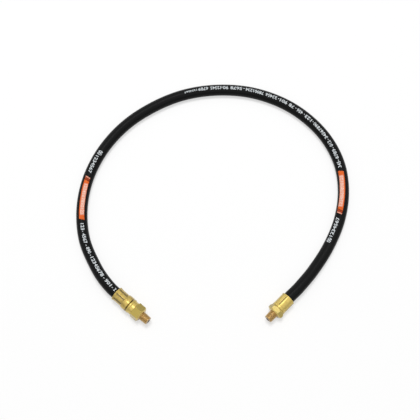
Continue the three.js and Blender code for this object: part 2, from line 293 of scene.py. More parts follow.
def turned(section: Section, steps: int, sweep: float = TURN) -> bmesh.types.BMesh:
    """Turns a closed section about the X axis.

    Args:
        section: The section's places, along and out.
        steps: Number of steps round.
        sweep: Angle turned through.

    Returns:
        The turned mesh.
    """
    shape = bmesh.new()
    ring = [shape.verts.new((along, 0.0, out)) for along, out in section]
    edges = [shape.edges.new(pair) for pair in zip(ring, ring[1:] + ring[:1])]
    whole = sweep == TURN
    if not whole:
        shape.faces.new(ring)
    bmesh.ops.spin(
        shape, geom=[*ring, *edges], cent=(0, 0, 0), axis=(1, 0, 0), dvec=(0, 0, 0),
        angle=sweep, steps=steps, use_merge=whole, use_duplicate=False,
    )
    return shape


def piece_from(
    name: str,
    shape: bmesh.types.BMesh,
    place: Place,
    bend: Place | None = None,
    keep_straight: bool = False,
) -> bpy.types.Object:
    """Turns a mesh on the bench into a finished object at the origin.

    Args:
        name: The piece's name.
        shape: The mesh as modelled, in millimetres. It is freed.
        place: Places it in the frame.
        bend: Shapes it on the bench first.
        keep_straight: Whether the straight places are kept for the finish to follow.

    Returns:
        The object.
    """
    bmesh.ops.recalc_face_normals(shape, faces=shape.faces)
    for face in shape.faces:
        face.smooth = True
    mesh = bpy.data.meshes.new(name)
    shape.to_mesh(mesh)
    shape.free()
    flat = np.empty(len(mesh.vertices) * 3)
    mesh.vertices.foreach_get("co", flat)
    coords = flat.reshape(-1, 3)
    if bend is not None:
        coords = bend(coords)
    if keep_straight:
        straight = mesh.attributes.new(STRAIGHT, "FLOAT_VECTOR", "POINT")
        straight.data.foreach_set("vector", coords.astype(np.float32).ravel())
    mesh.vertices.foreach_set("co", place(coords).ravel())
    mesh.update()
    piece = bpy.data.objects.new(name, mesh)
    bpy.context.collection.objects.link(piece)
    return piece


def pressed(press: Press, petals: int = 0, gather: float = 0.0, turn_deg: float = 0.0) -> Place:
    """Makes a bend that presses a turned piece's outside.

    Args:
        press: Gives the new distance from the axis, from along, out and the angle from the top.
        petals: Number of edges round the piece that the steps gather at.
        gather: Share, from 0 to 1, by which the steps close up at those edges.
        turn_deg: Angle of the first edge from the top.

    Returns:
        The bend.
    """

    def bend(coords: np.ndarray) -> np.ndarray:
        """Presses the outside.

        Args:
            coords: Places on the lathe.

        Returns:
            The pressed places.
        """
        along = coords[:, 0]
        out = np.hypot(coords[:, 1], coords[:, 2])
        step = np.arctan2(-coords[:, 1], coords[:, 2])
        if petals:
            step = step - gather / petals * np.sin(petals * step)
        angle = step + math.radians(turn_deg)
        out = press(along, out, angle)
        return np.stack((along, -out * np.sin(angle), out * np.cos(angle)), axis=1)

    return bend


def eased(values: np.ndarray, start: float, end: float) -> np.ndarray:
    """Rises smoothly from 0 at start to 1 at end."""
    share = np.clip((values - start) / (end - start), 0.0, 1.0)
    return share * share * (3 - 2 * share)


# Finishes

# Heights that most of a noise pattern lies between
NOISE_MIDDLE = (0.3, 0.7)


@dataclass(frozen=True)
class Grain:
    """A noise pattern.

    Attributes:
        scale: How close its spots are.
        detail: Number of finer layers in it.
        stretch: Scale of each axis before it, or None.
    """

    scale: float
    detail: float
    stretch: tuple[float, float, float] | None = None


class NodeBench:
    """Adds nodes to one node tree and joins them."""

    def __init__(self, tree: bpy.types.NodeTree, output_kind: str) -> None:
        """Empties the tree and gives it an output.

        Args:
            tree: The tree of a material or of the world.
            output_kind: Type of its output node, without the leading ShaderNode.
        """
        self.tree = tree
        self.tree.nodes.clear()
        self.output = self.add(output_kind)

    def add(self, kind: str, inputs: dict | None = None, **settings: object) -> bpy.types.Node:
        """Adds a node.

        Args:
            kind: Its type, without the leading ShaderNode.
            inputs: Value, or output to join, for each named or numbered input.
            settings: Attributes to set on the node.

        Returns:
            The node.
        """
        node = self.tree.nodes.new(f"ShaderNode{kind}")
        for key, value in settings.items():
            setattr(node, key, value)
        for key, value in (inputs or {}).items():
            if isinstance(value, Socket):
                self.tree.links.new(value, node.inputs[key])
            else:
                node.inputs[key].default_value = value
        return node

    def finish(self, shader: bpy.types.Node) -> None:
        """Joins a shader to the tree's output."""
        self.tree.links.new(shader.outputs[0], self.output.inputs["Surface"])

    def math(self, operation: str, *values: object) -> Socket:
        """Adds a Math node and gives its result."""
        return self.add("Math", dict(enumerate(values)), operation=operation).outputs[0]

    def between(self, value: object, low: float, high: float, floor: float = 0.0, top: float = 1.0) -> Socket:
        """Adds a smooth Map Range node and gives its result."""
        inputs = {"Value": value, "From Min": low, "From Max": high, "To Min": floor, "To Max": top}
        return self.add("MapRange", inputs, interpolation_type="SMOOTHSTEP").outputs["Result"]

    def mix(self, share: object, first: object, second: object) -> Socket:
        """Mixes two colours.

        Args:
            share: Share of the second.
            first: A colour or an output.
            second: A colour or an output.

        Returns:
            The mixed colour.
        """
        node = self.add("Mix", {"Factor": share}, data_type="RGBA")
        for socket, value in ((node.inputs[6], first), (node.inputs[7], second)):
            if isinstance(value, Socket):
                self.tree.links.new(value, socket)
            else:
                socket.default_value = (*value, 1.0)
        return node.outputs[2]

    def blend(self, share: Socket, first: Socket, second: Socket) -> Socket:
        """Mixes two numbers by the share of the second."""
        return self.add("Mix", {"Factor": share, 2: first, 3: second}, data_type="FLOAT").outputs[0]

    def noise(self, place: Socket, grain: Grain) -> Socket:
        """Adds a noise pattern.

        Args:
            place: The place that it follows.
            grain: The pattern.

        Returns:
            Its height.
        """
        if grain.stretch is not None:
            place = self.add("Mapping", {"Vector": place, "Scale": grain.stretch}).outputs["Vector"]
        inputs = {"Vector": place, "Scale": grain.scale, "Detail": grain.detail}
        return self.add("TexNoise", inputs).outputs["Fac"]

    def crossed(self, place: Socket, lean: float, scale: float, waver: float = 0.0) -> Socket:
        """Adds bands that lean one way and the other.

        Args:
            place: The place that they follow.
            lean: Angle that they lean by.
            scale: Bands to a millimetre.
            waver: How much they waver.

        Returns:
            The height of the higher.
        """
        bands = []
        for angle in (lean, -lean):
            leaning = self.add("Mapping", {"Vector": place, "Rotation": (0.0, 0.0, angle)}).outputs["Vector"]
            inputs = {"Vector": leaning, "Scale": scale, "Distortion": waver}
            bands.append(self.add("TexWave", inputs, bands_direction="X").outputs["Fac"])
        return self.math("MAXIMUM", *bands)

    def bumps(self, *layers: tuple[Socket, float]) -> Socket:
        """Stacks Bump nodes.

        Args:
            layers: Height and its depth in metres, from the lowest layer up.

        Returns:
            The normal.
        """
        normal = None
        for height, depth in layers:
            inputs = {"Height": height, "Distance": depth, "Strength": 1.0}
            if normal is not None:
                inputs["Normal"] = normal
            normal = self.add("Bump", inputs).outputs["Normal"]
        return normal


class MaterialBench(NodeBench):
    """Builds one node material."""

    def __init__(self, name: str) -> None:
        """Starts an empty node material.

        Args:
            name: The material's name.
        """
        self.material = bpy.data.materials.new(name)
        self.material.use_nodes = True
        super().__init__(self.material.node_tree, "OutputMaterial")

    def straight(self) -> Socket:
        """Gives the place on the straight hose, in millimetres."""
        return self.add("Attribute", attribute_name=STRAIGHT).outputs["Vector"]

    def place(self) -> Socket:
        """Gives the piece's own place, in metres."""
        return self.add("TexCoord").outputs["Object"]

    def surface(self, inputs: dict) -> bpy.types.Material:
        """Ends the material in a Principled shader.

        Args:
            inputs: Value or output for each of the shader's inputs.

        Returns:
            The material.
        """
        self.finish(self.add("BsdfPrincipled", inputs))
        return self.material


@dataclass(frozen=True)
class CoverRubber:
    """Black cover rubber with the faint print of the cloth that it was cured in.

    Attributes:
        dark: Its deeper colour.
        light: Its greyer colour, where it is scuffed.
        patches: Its slow waves and worn places.
        scuffs: The scuffs in the worn places.
        grain: Its fine grain.
        cloth: Threads of the cloth to a millimetre.
        lean: Angle that the threads lean by.
        waver: How much they waver.
        depths: Depths of the waves, the cloth's print and the grain, in metres.
        rough: Roughness where it is clean.
        scuffed: Roughness that the scuffs add.
        shine: Specular level.
    """

    dark: Colour = (0.0002, 0.0003, 0.0004)
    light: Colour = (0.0026, 0.0028, 0.0032)
    patches: Grain = Grain(0.22, 4.0, (0.25, 1.0, 1.0))
    scuffs: Grain = Grain(1.6, 5.0, (0.3, 1.0, 1.0))
    grain: Grain = Grain(9.0, 3.0)
    cloth: float = 1.5
    lean: float = 0.62
    waver: float = 0.4
    depths: tuple[float, float, float] = (0.00006, 0.000012, 0.000008)
    rough: float = 0.21
    scuffed: float = 0.12
    shine: float = 0.12

    def material(self) -> bpy.types.Material:
        """Builds the material on the straight hose's places.

        Returns:
            The material.
        """
        bench = MaterialBench("cover_rubber")
        straight = bench.straight()
        patches = bench.noise(straight, self.patches)
        scuffs = bench.noise(straight, self.scuffs)
        grain = bench.noise(straight, self.grain)
        cloth = bench.crossed(straight, self.lean, self.cloth, self.waver)
        worn = bench.math("MULTIPLY", bench.between(patches, 0.4, 0.72), bench.between(scuffs, 0.35, 0.7))
        finish = {
            "Base Color": bench.mix(worn, self.dark, self.light),
            "Roughness": bench.math("ADD", bench.between(scuffs, 0.3, 0.75, 0.0, self.scuffed), self.rough),
            "Normal": bench.bumps(*zip((patches, cloth, grain), self.depths)),
            "Specular IOR Level": self.shine,
        }
        return bench.surface(finish)


@dataclass(frozen=True)
class PrintInk:
    """Ink or foil laid on the cover, a little worn.

    Attributes:
        name: The material's name.
        fresh: Colour where it is whole.
        worn: Colour where it has rubbed thin.
        wear: Share of it that has rubbed, from 0 to 1.
        blots: Its rubbed places.
        specks: The specks in them.
        depth: Depth of the specks, in metres.
        rough: Its least and greatest roughness.
        shine: Specular level.
    """

    name: str
    fresh: Colour
    worn: Colour
    wear: float = 0.35
    blots: Grain = Grain(0.9, 5.0, (0.5, 1.0, 1.0))
    specks: Grain = Grain(7.0, 3.0)
    depth: float = 0.000012
    rough: tuple[float, float] = (0.42, 0.6)
    shine: float = 0.2

    def material(self) -> bpy.types.Material:
        """Builds the material on the straight hose's places.

        Returns:
            The material.
        """
        bench = MaterialBench(self.name)
        straight = bench.straight()
        blots = bench.noise(straight, self.blots)
        specks = bench.noise(straight, self.specks)
        low = 0.75 - 0.4 * self.wear
        thin = bench.between(blots, low - 0.2, low + 0.1)
        rubbed = bench.math("MULTIPLY", thin, bench.between(specks, 0.35, 0.7))
        finish = {
            "Base Color": bench.mix(rubbed, self.fresh, self.worn),
            "Roughness": bench.between(specks, *NOISE_MIDDLE, *self.rough),
            "Normal": bench.bumps((specks, self.depth)),
            "Specular IOR Level": self.shine,
        }
        return bench.surface(finish)


@dataclass(frozen=True)
class InnerRubber:
    """Plain moulded rubber of the inner tube and of the seal.

    Attributes:
        name: The material's name.
        dark: Its deeper colour.
        light: Its bloom.
        bloom: Where it has bloomed.
        grain: Its fine grain.
        depth: Depth of the grain, in metres.
        rough: Its least and greatest roughness.
    """

    name: str
    dark: Colour = (0.006, 0.006, 0.0065)
    light: Colour = (0.018, 0.018, 0.019)
    bloom: Grain = Grain(300.0, 4.0)
    grain: Grain = Grain(4000.0, 2.0)
    depth: float = 0.00001
    rough: tuple[float, float] = (0.45, 0.6)

    def material(self) -> bpy.types.Material:
        """Builds the material on the piece's own places.

        Returns:
            The material.
        """
        bench = MaterialBench(self.name)
        place = bench.place()
        bloom = bench.noise(place, self.bloom)
        finish = {
            "Base Color": bench.mix(bench.between(bloom, 0.35, 0.7), self.dark, self.light),
            "Roughness": bench.between(bloom, *NOISE_MIDDLE, *self.rough),
            "Normal": bench.bumps((bench.noise(place, self.grain), self.depth)),
        }
        return bench.surface(finish)


@dataclass(frozen=True)
class BraidWire:
    """Steel wire braid, its strands crossing over and under.

    Attributes:
        bright: Colour of the wire.
        deep: Colour between the wires.
        strands: Bands of wire to a millimetre.
        lean: Angle that the bands lean by.
        darkening: Dull places on the wire, where it is dirty.
        depth: Depth between the wires, in metres.
        rough: Its least and greatest roughness.
    """

    bright: Colour = (0.55, 0.55, 0.56)
    deep: Colour = (0.08, 0.08, 0.085)
    strands: float = 0.45
    lean: float = 0.95
    darkening: Grain = Grain(1.2, 4.0)
    depth: float = 0.00012
    rough: tuple[float, float] = (0.3, 0.48)

    def material(self) -> bpy.types.Material:
        """Builds the material on the straight hose's places.

        Returns:
            The material.
        """
        bench = MaterialBench("braid_wire")
        straight = bench.straight()
        over = bench.crossed(straight, self.lean, self.strands)
        darkening = bench.noise(straight, self.darkening)
        clean = bench.math("MULTIPLY", bench.between(over, 0.2, 0.7), darkening)
        finish = {
            "Base Color": bench.mix(clean, self.deep, self.bright),
            "Metallic": 1.0,
            "Roughness": bench.between(darkening, *NOISE_MIDDLE, *self.rough),
            "Normal": bench.bumps((over, self.depth)),
        }
        return bench.surface(finish)


@dataclass(frozen=True)
class Brass:
    """Turned brass, with fine tool lines round it and drawn lines along its hexagon.

    Attributes:
        name: The material's name.
        fitting: The fitting that the lines follow.
        yellow: Its clean colour.
        olive: Its duller colour, where it has been handled.
        dull: Its colour on the flats of the drawn hexagon.
        bounce_copper: Redder colour painted on the thread, standing in for light that bounces in its grooves.
        root: Colour of the shade painted in the thread's roots.
        hollow: Colour of the shade painted inside the waterway.
        darkening: Colour of the shade painted along the ferrule's die lines.
        groove_shade_share: How much of that painted shade's colour shows.
        groove_shade_floor: Distance from the axis above which the ferrule takes the painted shade.
        hexagon: The drawn hexagon, or None.
        thread: The thread, or None.
        ferrule: The crimped ferrule, with shade painted along its dies' lines, or None.
        waterway: Radius of the waterway.
        turned_lines: The tool lines round it.
        drawn_lines: The lines along the hexagon.
        stains: Where it has been handled.
        pits: Its small marks.
        rough: Roughness of its smoothest patches.
        line_rough: Roughness that the lines add.
        stain_rough: Roughness that the stains add.
        flat_rough: Roughness that the hexagon's flats add.
        depth: Depth of the lines and of the pits, in metres.
        coat: Weight of its clear gloss.
        coat_rough: Roughness of that gloss.
    """

    name: str
    fitting: FittingPlace
    yellow: Colour = (0.545, 0.400, 0.095)
    olive: Colour = (0.430, 0.315, 0.062)
    dull: Colour = (0.375, 0.280, 0.048)
    bounce_copper: Colour = (0.590, 0.395, 0.140)
    root: Colour = (0.330, 0.200, 0.065)
    hollow: Colour = (0.030, 0.020, 0.008)
    # Colour of the shade painted along the ferrule's die lines
    darkening: Colour = (0.110, 0.072, 0.012)
    groove_shade_share: float = 0.9
    groove_shade_floor: float = 6.7
    hexagon: "Hexagon | None" = None
    thread: "TaperThread | None" = None
    ferrule: "CrimpedFerrule | None" = None
    waterway: float = 2.0
    turned_lines: Grain = Grain(1.0, 4.0, (9.0, 0.25, 0.25))
    drawn_lines: Grain = Grain(1.0, 4.0, (0.25, 7.0, 7.0))
    stains: Grain = Grain(0.3, 5.0)
    pits: Grain = Grain(3.2, 4.0)
    rough: float = 0.18
    line_rough: float = 0.10
    stain_rough: float = 0.08
    flat_rough: float = 0.14
    depth: float = 0.0000025
    coat: float = 0.8
    coat_rough: float = 0.12

    def material(self) -> bpy.types.Material:
        """Builds the material on places turned onto the fitting's axis.

        Returns:
            The material.
        """
        bench = MaterialBench(self.name)
        lathe = self._lathe(bench)
        parts = bench.add("SeparateXYZ", {"Vector": lathe})
        squares = [bench.math("POWER", parts.outputs[axis], 2.0) for axis in ("Y", "Z")]
        out = bench.math("SQRT", bench.math("ADD", *squares))
        lines = bench.noise(lathe, self.turned_lines)
        stains = bench.noise(lathe, self.stains)
        pits = bench.noise(lathe, self.pits)
        marks = bench.between(pits, 0.25, 0.75, 0.5, 1.0)
        handled = bench.math("MULTIPLY", bench.between(stains, 0.38, 0.66), marks)
        colour = bench.mix(handled, self.yellow, self.olive)
        flat_rough = 0.0
        if self.ferrule is not None:
            # Paints shade along the lines between the crimping dies, where the grooves are
            colour = bench.mix(self._die_line_shade(bench, parts, out), colour, self.darkening)
        if self.hexagon is not None:
            drawn = self._drawn(bench, parts, out)
            lines = bench.blend(drawn, lines, bench.noise(lathe, self.drawn_lines))
            colour = bench.mix(drawn, colour, self.dull)
            flat_rough = bench.math("MULTIPLY", drawn, self.flat_rough)
        if self.thread is not None:
            colour = self._thread_colour(bench, parts, out, colour)
        rough = bench.math("ADD", bench.between(lines, *NOISE_MIDDLE, 0.0, self.line_rough), self.rough)
        rough = bench.math("ADD", rough, bench.between(stains, 0.4, 0.7, 0.0, self.stain_rough))
        finish = {
            "Base Color": colour,
            "Metallic": 1.0,
            "Roughness": bench.math("ADD", rough, flat_rough),
            "Normal": bench.bumps((pits, self.depth), (lines, self.depth)),
            "Coat Weight": self.coat,
            "Coat Roughness": self.coat_rough,
        }
        return bench.surface(finish)

    def _lathe(self, bench: MaterialBench) -> Socket:
        """Turns the piece's place back onto the lathe.

        Args:
            bench: The material's bench.

        Returns:
            The place on the lathe, in millimetres.
        """
        inputs = {
            "Vector": bench.place(),
            "Location": self.fitting.mouth,
            "Rotation": (0.0, 0.0, math.radians(self.fitting.heading_deg)),
            "Scale": (MM, MM, MM),
        }
        return bench.add("Mapping", inputs, vector_type="TEXTURE").outputs["Vector"]

    def _drawn(self, bench: MaterialBench, parts: bpy.types.Node, out: Socket) -> Socket:
        """Finds the hexagon's flats, inside both chamfers.

        Args:
            bench: The material's bench.
            parts: The place on the lathe, as separate numbers.
            out: The distance from the axis.

        Returns:
            The share of flat.
        """
        hexagon, along = self.hexagon, parts.outputs["X"]
        back, front = hexagon.slopes
        back_cone = bench.math("MULTIPLY_ADD", along, back, hexagon.back_face - hexagon.start * back)
        front_cone = bench.math("MULTIPLY_ADD", along, -front, hexagon.front_face + hexagon.end * front)
        clear = bench.math("SUBTRACT", bench.math("MINIMUM", back_cone, front_cone), out)
        edge = hexagon.flats / 2
        outside = bench.between(out, edge - 0.4, edge - 0.1)
        return bench.math("MULTIPLY", bench.between(clear, 0.02, 0.12), outside)

    def _thread_colour(
        self, bench: MaterialBench, parts: bpy.types.Node, out: Socket, colour: Socket
    ) -> Socket:
        """Paints the thread redder for the light that bounces in its grooves, and paints shade in its roots
        and in the waterway.

        Args:
            bench: The material's bench.
            parts: The place on the lathe, as separate numbers.
            out: The distance from the axis.
            colour: The brass's colour so far.

        Returns:
            The colour.
        """
        thread, along = self.thread, parts.outputs["X"]
        # The thread is painted redder, standing in for light that bounces in its grooves
        on_thread = bench.between(along, thread.start - 0.2, thread.start + 0.3)
        colour = bench.mix(on_thread, colour, self.bounce_copper)
        # The thread's roots are painted darker, standing in for the shade in them
        crest = bench.math("MULTIPLY_ADD", along, -thread.taper, thread.crest(0.0))
        sunk = bench.between(bench.math("SUBTRACT", crest, out), 0.20, 0.50)
        colour = bench.mix(bench.math("MULTIPLY", sunk, on_thread), colour, self.root)
        # The waterway is painted dark, standing in for the shade inside it
        inside = bench.between(out, self.waterway + 0.3, self.waterway + 0.05)
        return bench.mix(inside, colour, self.hollow)

    def _die_line_shade(self, bench: MaterialBench, parts: bpy.types.Node, out: Socket) -> Socket:
        """Finds where shade is painted along the lines between the crimping dies.

        Args:
            bench: The material's bench.
            parts: The place on the lathe, as separate numbers.
            out: The distance from the axis.

        Returns:
            The share of painted shade.
        """
        ferrule, along = self.ferrule, parts.outputs["X"]
        leftward = bench.math("MULTIPLY", parts.outputs["Y"], -1.0)
        angle = bench.math("ARCTAN2", leftward, parts.outputs["Z"])
        sector = TURN / ferrule.dies
        turned_back = bench.math("SUBTRACT", angle, math.radians(ferrule.turn_deg))
        off_line = bench.math("WRAP", turned_back, sector / 2, -sector / 2)
        reach = bench.math("MULTIPLY", bench.math("ABSOLUTE", off_line), ferrule.crimp)
        start, end = ferrule.mouth_run, ferrule.die_end
        share = bench.between(reach, ferrule.groove_shade_reach, ferrule.ridge_width * 0.7, 0.0, self.groove_shade_share)
        for factor in (
            bench.between(along, start, start + 1.5),
            bench.between(along, end + 0.5, end - 0.3),
            bench.between(out, self.groove_shade_floor, self.groove_shade_floor + 0.1),
        ):
            share = bench.math("MULTIPLY", share, factor)
        return share


@dataclass(frozen=True)
class SpringSteel:
    """Blued spring steel of the retaining ring.

    Attributes:
        blue: Its blued colour.
        grey: Its colour where the blue has gone.
        stains: Where the blue has gone.
        grain: Its fine grain.
        depth: Depth of the grain, in metres.
        rough: Its least and greatest roughness.
    """

    blue: Colour = (0.20, 0.21, 0.23)
    grey: Colour = (0.38, 0.38, 0.39)
    stains: Grain = Grain(400.0, 4.0)
    grain: Grain = Grain(5000.0, 2.0)
    depth: float = 0.000008
    rough: tuple[float, float] = (0.28, 0.42)

    def material(self) -> bpy.types.Material:
        """Builds the material on the piece's own places.

        Returns:
            The material.
        """
        bench = MaterialBench("spring_steel")
        place = bench.place()
        stains = bench.noise(place, self.stains)
        grain = bench.noise(place, self.grain)
        finish = {
            "Base Color": bench.mix(bench.between(stains, 0.35, 0.65), self.blue, self.grey),
            "Metallic": 1.0,
            "Roughness": bench.between(grain, *NOISE_MIDDLE, *self.rough),
            "Normal": bench.bumps((grain, self.depth)),
        }
        return bench.surface(finish)


# The hose


# The hose's radius before it is squeezed or swollen, in millimetres
HOSE_RADIUS = 6.35


@dataclass(frozen=True)
class Layer:
    """One layer of the hose.

    Attributes:
        name: The piece's name.
        radius: Its outside.
        bore: Its inside.
        step: Longest step along it.
        sides: Steps round it.
        finish: What it is made of.
        slot: The record's finish that it belongs to.
        node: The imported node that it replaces.
    """

    name: str
    radius: float
    bore: float
    step: float
    sides: int
    finish: CoverRubber | BraidWire | InnerRubber
    slot: Slot
    node: str


@dataclass(frozen=True)
class Hose:
    """The hose's three layers, squeezed in the ferrules and bent along the route.

    Attributes:
        route: Its centreline.
        swivel_grip: Length of the hose inside the swivel ferrule.
        rigid_grip: Length of the hose inside the rigid ferrule.
        layers: The cover, and then the layers inside it.
        edge: Radius that breaks the edges of the cut ends.
        squeeze: How far the ferrules press the cover in.
        squeeze_run: Run over which they do.
        swell: Places along the hose, and how much thicker the cover is there.
    """

    route: Route
    swivel_grip: float
    rigid_grip: float
    layers: tuple[Layer, ...] = (
        Layer(
            "hose_rubber_cover", radius=HOSE_RADIUS, bore=5.1, step=1.6, sides=64,
            finish=CoverRubber(), slot=Slot.COVER, node="hose_cover",
        ),
        Layer(
            "hose_wire_braid", radius=4.8, bore=4.3, step=4.0, sides=32,
            finish=BraidWire(), slot=Slot.WIRE, node="hose_braid",
        ),
        Layer(
            "hose_oil_tube", radius=4.0, bore=3.175, step=4.0, sides=32,
            finish=InnerRubber("tube_rubber"), slot=Slot.TUBE, node="hose_inner_tube",
        ),
    )
    edge: float = 0.25
    squeeze: float = 0.45
    squeeze_run: float = 2.2
    swell: tuple[tuple[float, float], ...] = (
        (15.4, 0.30), (24.0, 0.28), (38.0, 0.34), (52.0, 0.28), (80.0, 0.20), (110.0, 0.10), (150.0, 0.05),
        (200.0, 0.0), (250.0, 0.0), (300.0, 0.10), (350.0, 0.20), (400.0, 0.24), (500.0, 0.20), (560.0, 0.16),
        (600.0, 0.12), (640.0, 0.16), (660.0, 0.26), (690.0, 0.34), (715.0, 0.42), (730.0, 0.42),
    )

    def surface(self, along: np.ndarray) -> np.ndarray:
        """Gives the cover's radius, squeezed in the ferrules and swollen just outside them.

        Args:
            along: Places along the hose.

        Returns:
            The radius at each.
        """
        free = np.minimum(along - self.swivel_grip, self.route.length - self.rigid_grip - along)
        stations, extra = zip(*self.swell)
        swell = np.interp(along, stations, extra) * eased(free, -1.0, 1.2)
        return HOSE_RADIUS + swell - self.squeeze * eased(-free, 0.0, self.squeeze_run)

    def _shape(self, along: np.ndarray, out: np.ndarray, _angle: np.ndarray) -> np.ndarray:
        """Gives the cover its outside and leaves the rest as it is."""
        outside = out > self.layers[0].bore + 0.1
        return out + np.where(outside, self.surface(along) - HOSE_RADIUS, 0.0)

    def _lay(self, layer: Layer) -> bpy.types.Object:
        """Builds and dresses one layer as a closed tube along the route.

        Args:
            layer: The layer.

        Returns:
            The piece.
        """
        end = self.route.length
        places = ((0, layer.bore), (0, layer.radius), (end, layer.radius), (end, layer.bore))
        corners = [Corner(along, out, self.edge) for along, out in places]
        shape = turned(refined(rounded(corners), [Zone(0, end, layer.step)]), layer.sides)
        piece = piece_from(layer.name, shape, self.route.place, pressed(self._shape), keep_straight=True)
        return dress(piece, layer.finish.material(), Body.HOSE, layer.slot, layer.node)

    def build(self) -> list[bpy.types.Object]:
        """Builds and dresses the layers, the cover first."""
        return [self._lay(layer) for layer in self.layers]


def dress(
    piece: bpy.types.Object, material: bpy.types.Material, body: Body, slot: Slot, *nodes: str
) -> bpy.types.Object:
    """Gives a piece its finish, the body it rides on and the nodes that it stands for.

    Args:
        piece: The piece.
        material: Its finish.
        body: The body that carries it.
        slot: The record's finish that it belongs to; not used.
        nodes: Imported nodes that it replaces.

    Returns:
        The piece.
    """
    piece.data.materials.clear()
    piece.data.materials.append(material)
    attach(piece, body.value)
    if nodes:
        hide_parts(*nodes)
    LOG.info("%s: %d faces on %s", piece.name, len(piece.data.polygons), body.value)
    return piece


# The print on the hose


@dataclass(frozen=True)
class NumberGroup:
    """A group of plain digits printed along the hose, read from its start to its end.

    Attributes:
        digits: What is printed.
        start: Where it starts along the hose.
        end: Where it ends, nearer the swivel end.
        height: Height of the digits.
        drop: How far their middle sits below the line's, towards the outside.
    """

    digits: str
    start: float
    end: float
    height: float = 4.0
    drop: float = 0.0


